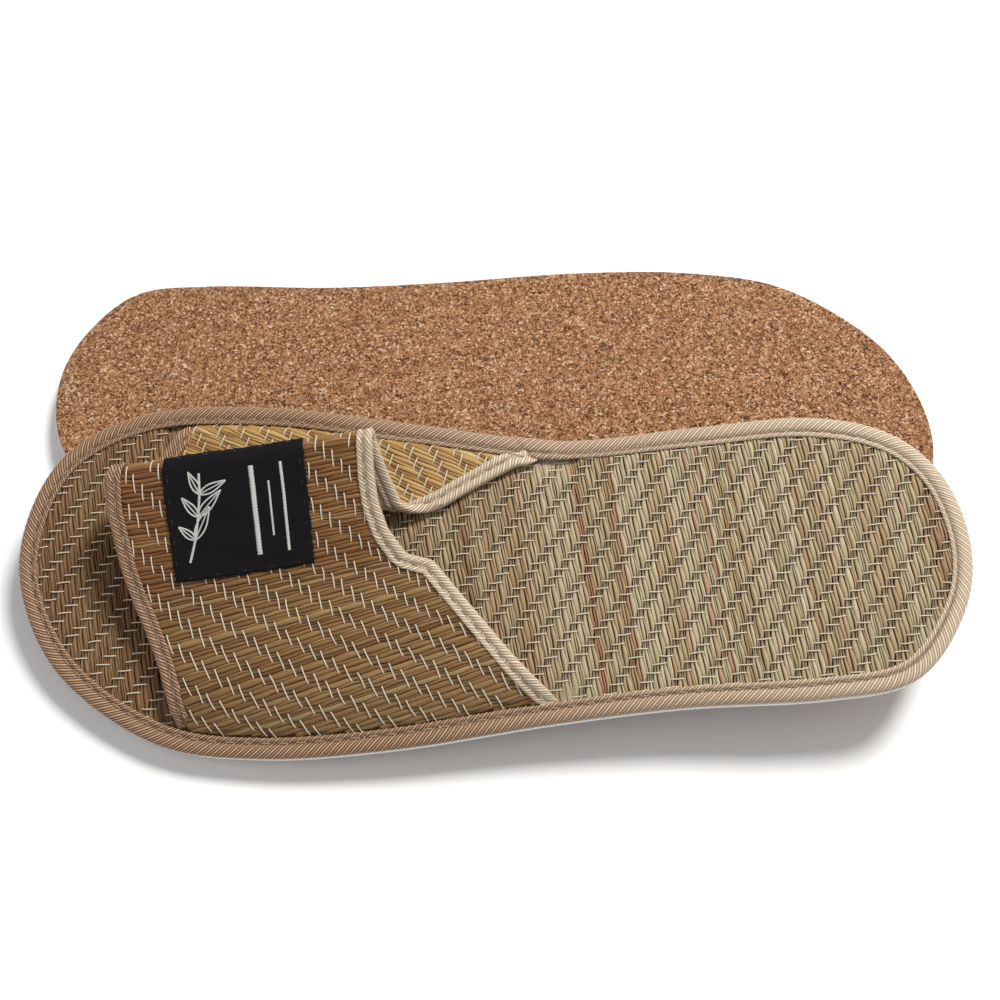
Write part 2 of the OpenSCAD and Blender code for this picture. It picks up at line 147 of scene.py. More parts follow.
def bilinear(grid, i, j):
    i = np.clip(i, 0, grid.shape[0] - 1.001)
    j = np.clip(j, 0, grid.shape[1] - 1.001)
    i0, j0 = i.astype(int), j.astype(int)
    fi, fj = i - i0, j - j0
    low = grid[i0, j0] * (1 - fj) + grid[i0, j0 + 1] * fj
    high = grid[i0 + 1, j0] * (1 - fj) + grid[i0 + 1, j0 + 1] * fj
    return low * (1 - fi) + high * fi


rim_distance = RimDistance()

# ---------------------------------------------------------------- the upper: a belt over round folds
MARGIN_H = -TAPE_T - GAP - UPPER_T * MARGIN_THIN
FAR_H = LINING_T + 2 * GAP + TAPE_GAP


def between(x, x0, v0, x1, v1):
    return v0 + (v1 - v0) * (x - x0) / (x1 - x0)


def level_h(x):
    """Height that keeps the upside-down slipper's label panel level with the table."""
    rise = (LENGTH - x) * math.tan(math.radians(RIGHT_RISE))
    return rise - UPPER_T - max(LABEL_T + GAP, TAPE_T + TAPE_GAP) - GAP


def edge_fold(x, k, side, height, r):
    """A fold that follows the sole's edge, at one of the margins of SIDE_TABLES."""
    table = SIDE_TABLES[k][side]
    return np.interp(x, table[:, 0], table[:, 1]), MARGIN_H + height, r


def folds(x, s):
    """The nine folds in a section across the slipper at x: middle y, middle height, radius."""
    if s == LEFT:
        swell = (np.interp(x, SIDE_TABLES[1][0][:, 0], SIDE_TABLES[1][0][:, 1]) + 17, 5.5 - 22, -22)
        crease = (between(x, 44.5, -14, 122, -4), CREASE_H + 10, 10)
        ridge = (between(x, 36, 22, 110, 30), between(x, 36, RIDGE_H - 1, 110, RIDGE_H) - UPPER_T - 3, -3)
        valley = (between(x, 36, 25, 125, 16.5), FAR_H + 2.9, 2.6)
    else:
        swell = edge_fold(x, 2, 0, FAR_H - MARGIN_H - 1.7, -1.5)
        crease = (between(x, 44.5, -13, 122, -4), level_h(x) - 10, -10)
        ridge = (between(x, 36, 27, 110, 34), level_h(x) - 1.1, -1.1)
        valley = (between(x, 36, 24, 125, 17), FAR_H + 2.1, 2.1)
    return [
        edge_fold(x, 0, 0, 0, 0), edge_fold(x, 1, 0, 1.5, 1.5), swell, crease, ridge, valley,
        edge_fold(x, 2, 1, FAR_H - MARGIN_H - 1.5, -1.5), edge_fold(x, 1, 1, 1.5, 1.5),
        edge_fold(x, 0, 1, 0, 0)]


def pick(table, k):
    return np.take_along_axis(table, k[None], 0)[0]


def belt_point(x, q, n, s):
    """A point of the belt. q counts folds and runs: the arc of fold k is 2k to 2k + 1, the straight
    run after it 2k + 1 to 2k + 2. n is the distance from the sheet along its normal."""
    x, q, n = (np.asarray(v, float) for v in np.broadcast_arrays(x, q, n))
    f = folds(x, s)
    mid_y, mid_h, radius = (
        np.stack([np.broadcast_to(fold[i], x.shape) for fold in f]).astype(float) for i in range(3))
    dy, dh, dr = (np.diff(t, axis=0) for t in (mid_y, mid_h, radius))
    head = np.arctan2(dh, dy) - np.arcsin(np.clip(dr / np.hypot(dy, dh), -1, 1))
    k = np.clip(np.floor(q / 2).astype(int), 0, 8)
    share = q - 2 * k
    before, after = pick(head, np.maximum(k - 1, 0)), pick(head, np.minimum(k, 7))
    angle = before + (after - before) * np.minimum(share, 1)
    y = pick(mid_y, k) + pick(radius, k) * np.sin(angle)
    h = pick(mid_h, k) - pick(radius, k) * np.cos(angle)
    k2 = np.minimum(k + 1, 8)
    y2 = pick(mid_y, k2) + pick(radius, k2) * np.sin(after)
    h2 = pick(mid_h, k2) - pick(radius, k2) * np.cos(after)
    run = np.clip(share - 1, 0, 1)
    y = y + (y2 - y) * run
    h = h + (h2 - h) * run
    return np.stack([x, y - n * np.sin(angle), Z_TOP + h + n * np.cos(angle)], -1)


# Where the upper's front and throat edges are cut, as [station q, x]
FRONT_CUT = np.array([
    [0, 54], [3, 53], [4, 51.5], [5, 49.3], [6, 41], [7, 40.5], [7.25, 38], [7.5, 36.5], [7.75, 35],
    [8, 35], [9, 35.7], [11, 37], [12, 48.5], [13, 49.5], [14, 51], [17, 51]])
THROAT_SHARED = [
    [3, 163], [4, 159], [6, 128.5], [7, 120.7], [7.25, 115.7], [7.5, 113.3], [7.75, 112.5], [9, 112.5]]
THROAT_OWN = [
    [[0, 164], [5, 150.5], [9.5, 115], [10, 118.5], [10.5, 124], [11, 131], [12, 153], [13, 156], [14, 159],
     [17, 160]],
    [[0, 163], [5, 158], [9.5, 116], [10, 122], [11, 126], [12, 153.5], [13, 154.5], [14, 158], [17, 160]]]
THROAT_CUTS = [np.array(sorted(THROAT_SHARED + own)) for own in THROAT_OWN]


def front_x(q):
    return np.interp(q, FRONT_CUT[:, 0], FRONT_CUT[:, 1]) * SCALE_X


def throat_x(q, s):
    cut = THROAT_CUTS[s]
    return np.interp(q, cut[:, 0], cut[:, 1]) * SCALE_X


class Belt:
    """The belt measured along itself: a is the running length across the slipper, 0 at the crease."""
    X0, A0, A_STEP = 28.0, -70.0, 0.25

    def __init__(self, s):
        self.s = s
        xs = np.arange(self.X0, 178.0)
        q = np.linspace(0, 16.999, 17 * 40)
        p = belt_point(xs[:, None], q[None], 0.0, s)
        step = np.linalg.norm(np.diff(p[..., 1:], axis=1), axis=2)
        run = np.concatenate([np.zeros((len(xs), 1)), np.cumsum(step, 1)], 1)
        zero = np.array([np.interp(6.0, q, row) for row in run])
        self.run = run - zero[:, None]
        self.q = q
        self.a_axis = np.arange(self.A0, 130.0, self.A_STEP)
        self.q_grid = np.array([np.interp(self.a_axis, row, q) for row in self.run])
        self.xs = xs

    def q_at(self, x, a):
        return bilinear(self.q_grid, x - self.X0, (a - self.A0) / self.A_STEP)

    def a_at(self, x, q):
        """Running length at station q, for arrays of the same length."""
        grid_q = np.interp(q, self.q, np.arange(len(self.q)))
        return bilinear(self.run, x - self.X0, grid_q)

    def point(self, x, a, n):
        x, a, n = np.broadcast_arrays(np.asarray(x, float), np.asarray(a, float), np.asarray(n, float))
        return belt_point(x, self.q_at(x, a), n, self.s)

    def thickness(self, q):
        """The sheet's share of its full thickness: pressed thin where it's sewn in."""
        near = np.interp(q, [2, 3, 3.4], [MARGIN_THIN, 0.6, 1])
        return np.where(q < 8, near, np.interp(q, [13.6, 14, 15], [1, 0.6, MARGIN_THIN]))


BELTS = [Belt(s) for s in SIDES]


# ---------------------------------------------------------------- placing a slipper on the table
def turn(axis, degrees):
    c, s = math.cos(math.radians(degrees)), math.sin(math.radians(degrees))
    rows = {"x": [[1, 0, 0], [0, c, -s], [0, s, c]], "y": [[c, 0, s], [0, 1, 0], [-s, 0, c]],
            "z": [[c, -s, 0], [s, c, 0], [0, 0, 1]]}
    return np.array(rows[axis])


TURNS = (turn("y", -LEFT_RISE) @ turn("x", LEFT_ROLL), turn("z", RIGHT_TURN) @ turn("y", -RIGHT_RISE))


def turned(v, s):
    if s == RIGHT:
        v = np.array([LENGTH, 0, Z_TOP]) - v
    return v @ TURNS[s].T


def find_shift(s):
    """The shift that lays the turned foam plate on the one in the frame."""
    coarse = closed_curve(OUTLINE, 6)
    both = [np.column_stack([coarse, np.full(len(coarse), z)]) for z in (Z_FOAM, Z_TAPE)]
    mine = turned(np.vstack(both), s)
    low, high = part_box(NAMES[s] + "_foam_midsole")
    middle = (np.array(low) + np.array(high)) / 2 / MM
    return middle - (mine.min(0) + mine.max(0)) / 2


SHIFTS = [find_shift(s) for s in SIDES]


def to_world(v, s):
    return (turned(np.asarray(v, float).reshape(-1, 3), s) + SHIFTS[s]) * MM


# ---------------------------------------------------------------- meshes
def mesh_object(name, s, points, faces, material, attributes=None, smooth=True, weld=False):
    """A mesh from points in a slipper's own frame and faces of three or four corners each."""
    points = np.asarray(points, float).reshape(-1, 3)
    faces = [np.asarray(f, np.int64) for f in (faces if isinstance(faces, list) else [faces])]
    faces = [f[:, ::-1] if s == RIGHT else f for f in faces if len(f)]
    used = np.zeros(len(points), bool)
    for f in faces:
        used[f.ravel()] = True
    renumber = np.cumsum(used) - 1
    mesh = bpy.data.meshes.new(name)
    mesh.vertices.add(int(used.sum()))
    mesh.vertices.foreach_set("co", to_world(points[used], s).astype(np.float32).ravel())
    corners = np.concatenate([renumber[f].ravel() for f in faces])
    sizes = np.concatenate([np.full(len(f), f.shape[1]) for f in faces])
    mesh.loops.add(len(corners))
    mesh.loops.foreach_set("vertex_index", corners.astype(np.int32))
    mesh.polygons.add(len(sizes))
    mesh.polygons.foreach_set("loop_start", (np.cumsum(sizes) - sizes).astype(np.int32))
    mesh.polygons.foreach_set("use_smooth", np.full(len(sizes), smooth))
    for key, values in (attributes or {}).items():
        layer = mesh.attributes.new(key, "FLOAT", "POINT")
        full = np.broadcast_to(np.asarray(values, float).ravel(), (len(points),))
        layer.data.foreach_set("value", full[used].astype(np.float32))
    mesh.update(calc_edges=True)
    if weld:
        weld_mesh(mesh)
    obj = bpy.data.objects.new(name, mesh)
    bpy.context.scene.collection.objects.link(obj)
    mesh.materials.append(material)
    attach(obj, NAMES[s] + "_slipper")
    return obj


def weld_mesh(mesh):
    """Joins the points that a closed loop repeats."""
    bm = bmesh.new()
    bm.from_mesh(mesh)
    bmesh.ops.remove_doubles(bm, verts=bm.verts, dist=0.00002)
    bm.to_mesh(mesh)
    bm.free()


def grid_faces(rows, cols, wrap_rows=False, wrap_cols=False, start=0):
    """Four-cornered faces of a grid of rows x cols points."""
    i = np.arange(rows if wrap_rows else rows - 1)[:, None]
    j = np.arange(cols if wrap_cols else cols - 1)[None]
    i2, j2 = (i + 1) % rows, (j + 1) % cols
    quads = np.stack([i * cols + j, i2 * cols + j, i2 * cols + j2, i * cols + j2], -1)
    return quads.reshape(-1, 4) + start


def slab(top, bottom):
    """Points and faces of a closed sheet between two grids of points."""
    rows, cols = top.shape[:2]
    upper = grid_faces(rows, cols)
    lower = grid_faces(rows, cols, start=rows * cols)[:, ::-1]
    ids = np.arange(rows * cols).reshape(rows, cols)
    rim = np.concatenate([ids[0, :-1], ids[:-1, -1], ids[-1, :0:-1], ids[:0:-1, 0]])
    after = np.roll(rim, -1)
    walls = np.stack([rim, after, after + rows * cols, rim + rows * cols], 1)
    points = np.concatenate([top.reshape(-1, 3), bottom.reshape(-1, 3)])
    return points, np.concatenate([upper, lower, walls])


def tubes(centre, across, up, shape, live):
    """Closed tubes. centre, across and up are (tube, ring, 3); shape is (corner, 2), how far each
    corner of a ring lies along across and up; live says which rings exist."""
    count, rings = centre.shape[:2]
    corners = shape.shape[0]
    sideways = across[:, :, None] * shape[None, None, :, :1]
    upwards = up[:, :, None] * shape[None, None, :, 1:]
    return centre[:, :, None] + sideways + upwards, tube_faces(count, rings, corners, live)


def tube_faces(count, rings, corners, live):
    """The walls and the two kinds of end caps of the tubes, where their rings exist."""
    ids = np.arange(count * rings * corners).reshape(count, rings, corners)
    joined = live[:, :-1] & live[:, 1:]
    a, b = ids[:, :-1][joined], ids[:, 1:][joined]
    walls = np.stack([a, np.roll(a, -1, 1), np.roll(b, -1, 1), b], -1).reshape(-1, 4)
    before = np.pad(joined, ((0, 0), (1, 0)))
    after = np.pad(joined, ((0, 0), (0, 1)))
    first, last = after & ~before, before & ~after
    return [walls, ids[first][:, ::-1], ids[last]]


# ---------------------------------------------------------------- twill weave of rush and thread
def twill_phase(r, k):
    """0.5 in the middle of the two threads that press a bundle down, 2.5 in the middle of its float."""
    return np.mod(r + k, 4.0)


def float_rise(r, k):
    """0 under the threads, 1 in the middle of a float."""
    s = twill_phase(r, k)
    return np.sin(np.pi * np.mod(s - 0.5, 4.0) / 4) ** 1.2


class Weave:
    """Rush bundles and the threads that bind them, laid out by `lattice` and lifted by `surface`.

    lattice(r, k) gives the place on the flat cloth of row r of the threads and bundle k of the rush,
    surface(p, q, height) the point in space, inside(p, q) which places are covered."""

    def __init__(self, lattice, surface, inside, rows, bundles, step=0.36):
        self.lattice, self.surface, self.inside = lattice, surface, inside
        self.rows, self.bundles, self.step = rows, bundles, step

    def straws(self, splits, shape, low, rise, lean, pinch, bulge, dome, side, tone_of, wander=0.03):
        """All straws: `splits` gives the shares of each bundle's width, one list per bundle. A bundle
        narrows to `pinch` of its width under the threads and spreads to `bulge` between them."""
        r = np.arange(self.rows[0], self.rows[1], self.step)
        centre, width, bundle = [], [], []
        for k, shares in zip(range(*self.bundles), splits):
            ends = np.cumsum([0.0] + list(shares)) / sum(shares) - 0.5
            for lo, hi in zip(ends[:-1], ends[1:]):
                centre.append((lo + hi) / 2)
                width.append(hi - lo)
                bundle.append(k)
        centre, width, bundle = (np.array(v, float)[:, None] for v in (centre, width, bundle))
        r = np.broadcast_to(r[None], (len(centre), len(r)))
        swell = float_rise(r, bundle)
        tight = pinch + (bulge - pinch) * swell
        sway = lean * np.sin(2 * np.pi * (twill_phase(r, bundle) - 2.5) / 4)
        drift = wander * np.sin(r * 0.9 + random.uniform(0, 6.28, centre.shape))
        mid = bundle + centre * tight + sway + drift
        k = mid[..., None] + (width * tight)[..., None] * shape[None, None, :, 0]
        bob = random.uniform(-0.12, 0.12, centre.shape) * (0.4 + swell)
        height = low + (rise + dome * (1 - 4 * centre ** 2)) * swell + bob
        n = height[..., None] * (1 - (1 - shape[None, None, :, 1]) * side)
        rr = np.broadcast_to(r[..., None], k.shape)
        p, q = self.lattice(rr, k)
        live = self.inside(*self.lattice(r, mid))
        points = self.surface(p, q, n)
        tone = np.broadcast_to(tone_of(bundle)[..., None], k.shape)
        along = np.broadcast_to((r * 2.3 + random.uniform(0, 500, centre.shape))[..., None], k.shape)
        cross = (width * tight)[..., None] * shape[None, None, :, 0] * 2.4
        # depth is low under the threads and on each straw's sides, where the rush material paints shade
        depth = np.broadcast_to((0.45 + 0.55 * swell)[..., None], k.shape) * (0.4 + 0.6 * shape[:, 1])
        faces = tube_faces(len(centre), r.shape[1], len(shape), live)
        facts = {"tone": tone, "along": along, "across": cross, "depth": depth, "cloth_x": p, "cloth_y": q}
        return points, faces, facts

    def threads(self, thick, height, sink):
        """One short length of thread for each place where a thread passes over two bundles."""
        r0, k0 = np.meshgrid(np.arange(*self.rows), np.arange(*self.bundles), indexing="ij")
        starts = np.mod(r0 + k0, 4) == 0
        r0, k0 = r0[starts].astype(float), k0[starts].astype(float)
        share = np.linspace(-1, 1, 9)
        reach = 1.02 + random.uniform(-0.1, 0.1, r0.shape)[:, None]
        k = k0[:, None] + 0.5 + share[None] * reach
        bow = random.uniform(-0.06, 0.12, r0.shape)[:, None] * (1 - share[None] ** 2)
        r = r0[:, None] + bow + random.uniform(-0.05, 0.05, r0.shape)[:, None]
        r = r + random.uniform(-0.06, 0.06, r0.shape)[:, None] * share[None]
        fall = sink * np.abs(share[None]) ** 4
        turn_angles = np.arange(6) * np.pi / 3
        ring_r = np.cos(turn_angles) * thick / 2 / 2.35
        ring_n = np.sin(turn_angles) * thick / 2 * 0.8
        rr = r[..., None] + ring_r
        kk = np.broadcast_to(k[..., None], rr.shape)
        n = height - fall[..., None] + ring_n
        p, q = self.lattice(rr, kk)
        pm, qm = self.lattice(r[:, 4], k[:, 4])
        keep = self.inside(pm, qm)
        live = np.broadcast_to(keep[:, None], r.shape)
        points = self.surface(p, q, n)
        along = np.broadcast_to((share * 2.3)[None, :, None] + k0[:, None, None] * 7, rr.shape)
        facts = {"along": along, "across": np.broadcast_to(turn_angles[None, None], rr.shape),
                 "cloth_x": p, "cloth_y": q}
        return points, tube_faces(len(r0), 9, 6, live), facts


ROUND_STRAW = np.array([[-0.5, 0.0], [-0.34, 0.75], [0.0, 1.0], [0.34, 0.75], [0.5, 0.0]])
FLAT_STRIP = np.array([[-0.485, 0.0], [-0.43, 0.9], [0.0, 1.0], [0.43, 0.9], [0.485, 0.0]])


# ---------------------------------------------------------------- sole
def plate_rings(rings, count):
    """Loops of `count` points each at (inset, z)."""
    rim = resampled(EDGE, PERIMETER / count)
    normal = inward(rim)
    return np.stack([np.column_stack([rim + d * normal, np.full(len(rim), z)]) for d, z in rings])


def lofted_plate(rings, count, bottom_steps, top_steps):
    """A plate whose wall follows the rings, closed towards a line along its middle."""
    wall = plate_rings(rings, count)
    mate = wall[0, -np.arange(wall.shape[1]), 0]
    spine = np.stack([np.clip((wall[0, :, 0] + mate) / 2, 48, 238), np.full(wall.shape[1], -3.0)], 1)

    def cap(loop, steps):
        t = np.linspace(0, 1, steps + 1)[:-1][:, None, None]
        flat = spine[None] + (loop[None, :, :2] - spine[None]) * t
        return np.concatenate([flat, np.full(flat.shape[:2] + (1,), loop[0, 2])], 2)

    rows = np.concatenate([cap(wall[0], bottom_steps), wall, cap(wall[-1], top_steps)[::-1]])
    return rows


def plate_object(name, s, rows, material, attributes=None):
    faces = grid_faces(rows.shape[0], rows.shape[1], wrap_cols=True)
    return mesh_object(name, s, rows, faces[:, ::-1], material, attributes, weld=True)


def hashed(ix, iy, seed):
    """A repeatable number from 0 to 1 for each pair of whole numbers."""
    v = np.sin(ix * 127.1 + iy * 311.7 + seed * 74.7) * 43758.5453
    return v - np.floor(v)


def granules(x, y, size):
    """Distance to the nearest and to the second nearest of scattered grain centres, and its number."""
    gx, gy = x / size, y / size
    ix, iy = np.floor(gx), np.floor(gy)
    near = np.full(x.shape, 9.0)
    second = np.full(x.shape, 9.0)
    grain = np.zeros(x.shape)
    for dx in (-1, 0, 1):
        for dy in (-1, 0, 1):
            cx, cy = ix + dx, iy + dy
            px, py = cx + hashed(cx, cy, 1), cy + hashed(cx, cy, 2)
            d = np.hypot(px - gx, py - gy)
            closer = d < near
            second = np.where(closer, near, np.minimum(second, d))
            grain = np.where(closer, hashed(cx, cy, 3), grain)
            near = np.where(closer, d, near)
    return near, second, grain


def cork_outsole(s, material):
    rings = [(CORK_INSET + 0.45, 0.0), (CORK_INSET + 0.15, 0.1), (CORK_INSET + 0.02, 0.4),
             (CORK_INSET, 1.2), (CORK_INSET + 0.05, CORK_T)]
    rows = lofted_plate(rings, 1100, 80, 3)
    near, second, grain = granules(rows[..., 0], rows[..., 1], 1.3)
    pit = np.clip(1 - (second - near) * 4, 0, 1)
    lift = 0.10 * pit + 0.10 * grain
    rows[:, :, 2] += np.where(rows[..., 2] < 0.3, lift, 0)
    return plate_object(NAMES[s] + "_cork", s, rows, material, {"tone": grain, "depth": pit})


def foam_midsole(s, material):
    rings = [(0.5, Z_FOAM), (0.12, Z_FOAM + 0.35), (0.0, Z_FOAM + 1.1), (0.0, Z_FOAM + 2.1),
             (0.15, Z_FOAM + 2.8), (0.6, Z_TAPE)]
    rows = lofted_plate(rings, 680, 4, 4)
    wave = 0.06 * np.sin(rows[..., 0] * 1.7) * np.cos(rows[..., 1] * 2.1)
    rows[..., 2] += np.where(np.abs(rows[..., 2] - Z_FOAM - 1.6) < 1, wave, 0)
    return plate_object(NAMES[s] + "_foam", s, rows, material)


# Outline of the sole's tape in a section across it: how far in from the edge, and the height
SOLE_TAPE_FACE = np.array([
    [6.3, Z_FLANGE - 0.6], [6.25, Z_FLANGE + 0.1], [6.0, 9.38], [5.6, 9.53], [5.15, 9.5], [4.8, 9.3],
    [4.45, 9.05], [4.1, 9.15], [3.7, 9.4], [3.2, 9.54], [2.6, 9.6], [2.0, 9.6], [1.4, 9.5], [0.9, 9.28],
    [0.45, 8.9], [0.15, 8.4], [0.02, 7.8], [0.0, 7.1], [0.03, 6.4], [0.2, 5.85], [0.6, 5.45],
    [1.2, 5.28], [2.2, 5.22]])
SOLE_TAPE_BACK = np.array([
    [7.5, 5.22], [7.5, 5.6], [1.3, 5.68], [0.75, 6.0], [0.55, 6.8], [0.6, 8.2], [1.2, 8.95], [5.9, 8.75]])
RIB_PITCH = 1.13
SOLE_RIB_DEPTH, UPPER_RIB_DEPTH = 0.24, 0.2
SOLE_SEAM, UPPER_SEAM = 4.45, 2.25      # from the edge to the row of stitches
LAP_X, LAP_LONG, LAP_LIFT = 158.0, 12.0, 0.35


def ribbed(along, across, depth):
    """Depth of the tape's surface below its ribs, which are slanted, every second one bolder."""
    phase = (along + across) / RIB_PITCH
    rib = (0.5 - 0.5 * np.cos(2 * np.pi * phase)) ** 1.3
    bold = 0.8 - 0.2 * np.cos(np.pi * phase - np.pi / 2)
    return depth * (1 - rib * bold)


def face_normals(face):
    """Unit normals along a tape's section, out of its face, as (first, second) coordinates."""
    slope = np.gradient(face, axis=0)
    slope /= np.linalg.norm(slope, axis=1)[:, None]
    return slope[:, 1], -slope[:, 0]


def running_length(points):
    """Distance along a path at each of its points."""
    d = np.linalg.norm(np.diff(points, axis=0), axis=1)
    return np.concatenate([[0], np.cumsum(d)])


def tape_lap(rim, across):
    """Where the tape's two ends lie over each other, cut slantwise: the upper one stands proud."""
    past = rim[:, :1] - (LAP_X - across[None])
    past = np.where(rim[:, 1:] > 0, past, -1.0)
    return LAP_LIFT * np.clip(past / 0.5, 0, 1) * np.clip((LAP_LONG - past) / 5.0, 0, 1)


def sole_binding(s, material):
    rim = resampled(EDGE, 0.235)
    normal = inward(rim)
    along = np.arange(len(rim)) * (PERIMETER / len(rim))
    across = running_length(SOLE_TAPE_FACE)
    face_d, face_z = SOLE_TAPE_FACE.T
    out_d, out_z = face_normals(SOLE_TAPE_FACE)
    repeats = 2 * RIB_PITCH * round(PERIMETER / (2 * RIB_PITCH))
    phase_along = along * repeats / PERIMETER
    cut = ribbed(phase_along[:, None], -across[None], SOLE_RIB_DEPTH) - tape_lap(rim, across)
    waver = 0.12 * np.sin(along / 19.0)[:, None] + 0.08 * np.sin(along / 7.3 + 1)[:, None]
    d = face_d[None] - out_d[None] * cut + waver * (face_d[None] > 3.5)
    z = face_z[None] - out_z[None] * cut
    back_d = np.broadcast_to(SOLE_TAPE_BACK[None, :, 0], (len(rim), len(SOLE_TAPE_BACK)))
    back_z = np.broadcast_to(SOLE_TAPE_BACK[None, :, 1], back_d.shape)
    d, z = np.concatenate([d, back_d], 1), np.concatenate([z, back_z], 1)
    points = np.concatenate([rim[:, None] + normal[:, None] * d[..., None], z[..., None]], 2)
    faces = grid_faces(len(rim), d.shape[1], wrap_rows=True, wrap_cols=True)
    across = np.concatenate([across, np.full(len(SOLE_TAPE_BACK), across[-1])])
    facts = {"along": np.broadcast_to(phase_along[:, None], d.shape),
             "across": np.broadcast_to(-across, d.shape),
             # heel grows towards the heel and falls on the -y side; the tape is painted darker as shade
             # where it is low and lighter as light where it is high
             "heel": np.broadcast_to(rim[:, :1] + 0.8 * np.minimum(rim[:, 1:], 0), d.shape),
             # seam marks the dip along the row of stitches, which the tape material paints dark as shade
             "seam": np.exp(-((d - SOLE_SEAM) / 0.42) ** 2) * (z > Z_FLANGE - 0.5)}
    return mesh_object(NAMES[s] + "_sole_tape", s, points, faces, material, facts)


def stitch_run(path, normal, length, width, sink):
    """Stitches of thread: short arched lengths lying on a path, one every STITCH_PITCH."""
    s = running_length(path)
    total = s[-1]
    count = int(total / STITCH_PITCH)
    middle = (np.arange(count) + 0.5) * total / count
    share = np.linspace(-1, 1, 9)
    at = middle[:, None] + share[None] * length / 2
    centre = np.stack([np.interp(at, s, path[:, i]) for i in range(3)], -1)
    up = np.stack([np.interp(at, s, normal[:, i]) for i in range(3)], -1)
    up /= np.linalg.norm(up, axis=-1, keepdims=True)
    tangent = np.gradient(centre, axis=1)
    tangent /= np.linalg.norm(tangent, axis=-1, keepdims=True)
    side = np.cross(up, tangent)
    centre = centre - up * (sink * np.abs(share) ** 3)[None, :, None]
    ring = np.arange(6) * np.pi / 3
    shape = np.stack([np.cos(ring) * width / 2, np.sin(ring) * width * 0.4], 1)
    live = np.ones(at.shape, bool)
    points, faces = tubes(centre, side, up, shape, live)
    along = np.broadcast_to(at[..., None], at.shape + (6,))
    return points, faces, {"along": along, "across": np.broadcast_to(ring, along.shape)}


def sole_stitching(s, material):
    rim = resampled(EDGE, 0.8)
    line = rim + SOLE_SEAM * inward(rim)
    path = np.column_stack([line, np.full(len(line), 9.17)])
    path = np.vstack([path, path[:1]])
    up = np.broadcast_to([0.0, 0, 1], path.shape)
    points, faces, facts = stitch_run(path, up, STITCH_L, 0.52, 0.5)
    return mesh_object(NAMES[s] + "_sole_thread", s, points, faces, material, facts)


INSOLE_ROW, INSOLE_BUNDLE = 2.34, 2.2


def insole_lattice(r, k):
    """x = V - 0.11 y and y = 0.063 x - the row's distance."""
    v, row = k * INSOLE_BUNDLE, r * INSOLE_ROW
    x = (v + 0.11 * row) / (1 + 0.11 * 0.063)
    return x, 0.063 * x - row


def insole_surface(x, y, n):
    """Straws stand on the dark ground of the mat, and lie lower under the upper's seam margin."""
    d = rim_distance(x, y)
    in_seam = (x > REBATE[0]) & (x < REBATE[1])
    press = np.where(in_seam, np.interp(d, [7.5, REBATE[2] + 2], [0.1, 1]), np.interp(d, [5, 8], [0.75, 1]))
    return np.stack([x, y, Z_MAT + 0.25 + n * press], -1)


def insole_weave():
    return Weave(insole_lattice, insole_surface, lambda x, y: rim_distance(x, y) > 4.6,
                 (-25, 27), (-2, 134), step=0.4)


def insole_mat(s, ground, straw, thread):
    name = NAMES[s] + "_insole"
    rows = lofted_plate([(1.0, Z_MAT), (1.0, Z_MAT + 0.3)], 340, 6, 6)
    base = plate_object(name + "_ground", s, rows, ground)
    weave = insole_weave()
    splits = [random.uniform(0.5, 1.7, random.choice([2, 2, 3])) for _ in range(-2, 134)]
    points, faces, facts = weave.straws(
        splits, ROUND_STRAW, 1.15, 0.42, lean=0.06, pinch=0.68, bulge=1.3, dome=0.25, side=0.6,
        tone_of=insole_tones)
    pieces = [base] + split_object(name + "_rush", s, points, faces, facts, straw, 3)
    points, faces, facts = weave.threads(0.4, 1.52, 0.5)
    pieces.append(mesh_object(name + "_thread", s, points, faces, thread, facts))
    return pieces


def insole_tones(bundle):
    """Neighbouring straws of a bundle are alike, bundles differ."""
    per_bundle = hashed(bundle, bundle * 0 + 3, 5)
    return np.clip(per_bundle * 0.78 + random.uniform(0, 0.28, bundle.shape), 0, 1)


def split_object(name, s, points, faces, facts, material, parts):
    """The same mesh as several pieces, cut between tubes, so that no piece is too heavy."""
    count = points.shape[0]
    corners = points.shape[1] * points.shape[2]
    edges = np.linspace(0, count, parts + 1).astype(int) * corners
    made = []
    for i, (lo, hi) in enumerate(zip(edges[:-1], edges[1:])):
        mine = [f[(f[:, 0] >= lo) & (f[:, 0] < hi)] for f in faces]
        made.append(mesh_object(f"{name}_{i + 1}", s, points, mine, material, facts))
    return made


# ---------------------------------------------------------------- upper
# Along the belt (a), from the little toe side across: how steeply the straws run, how wide the
# bundles are, and how the rows of thread lean
STRAW_SLOPE = ([-22, 4, 40, 62], [0.13, 0.02, -0.02, -0.24])
BUNDLE_WIDTH = ([-20, 5, 60], [2.95, 2.6, 2.4])
ROW_LEAN = ([-18, 0, 40, 62], [-0.43, -0.15, 0.0, 0.34])
UPPER_ROW = 2.4
SLOPE_MIDDLE = 90.0


def running_sum(table, at):
    """Integral of a table's value from 0 to `at`."""
    axis = np.arange(-90, 150, 0.5)
    total = np.cumsum(np.interp(axis, *table)) * 0.5
    total -= np.interp(0, axis, total)
    return np.interp(at, axis, total)


def bundle_place(k):
    """Running length of bundle k at the slope's middle."""
    axis = np.arange(-90, 150, 0.5)
    number = np.cumsum(0.5 / np.interp(axis, *BUNDLE_WIDTH))
    number -= np.interp(0, axis, number)
    return np.interp(k, number, axis)


def upper_lattice(r, k):
    v = bundle_place(k)
    slope = np.interp(v, *STRAW_SLOPE)
    x = UPPER_ROW * r
    for _ in range(4):
        a = v + slope * (x - SLOPE_MIDDLE)
        x = UPPER_ROW * r + running_sum(ROW_LEAN, a)
    return x, v + slope * (x - SLOPE_MIDDLE)


def upper_surface(belt):
    def surface(x, a, n):
        q = belt.q_at(x, a)
        return belt_point(x, q, n * belt.thickness(q), belt.s)
    return surface


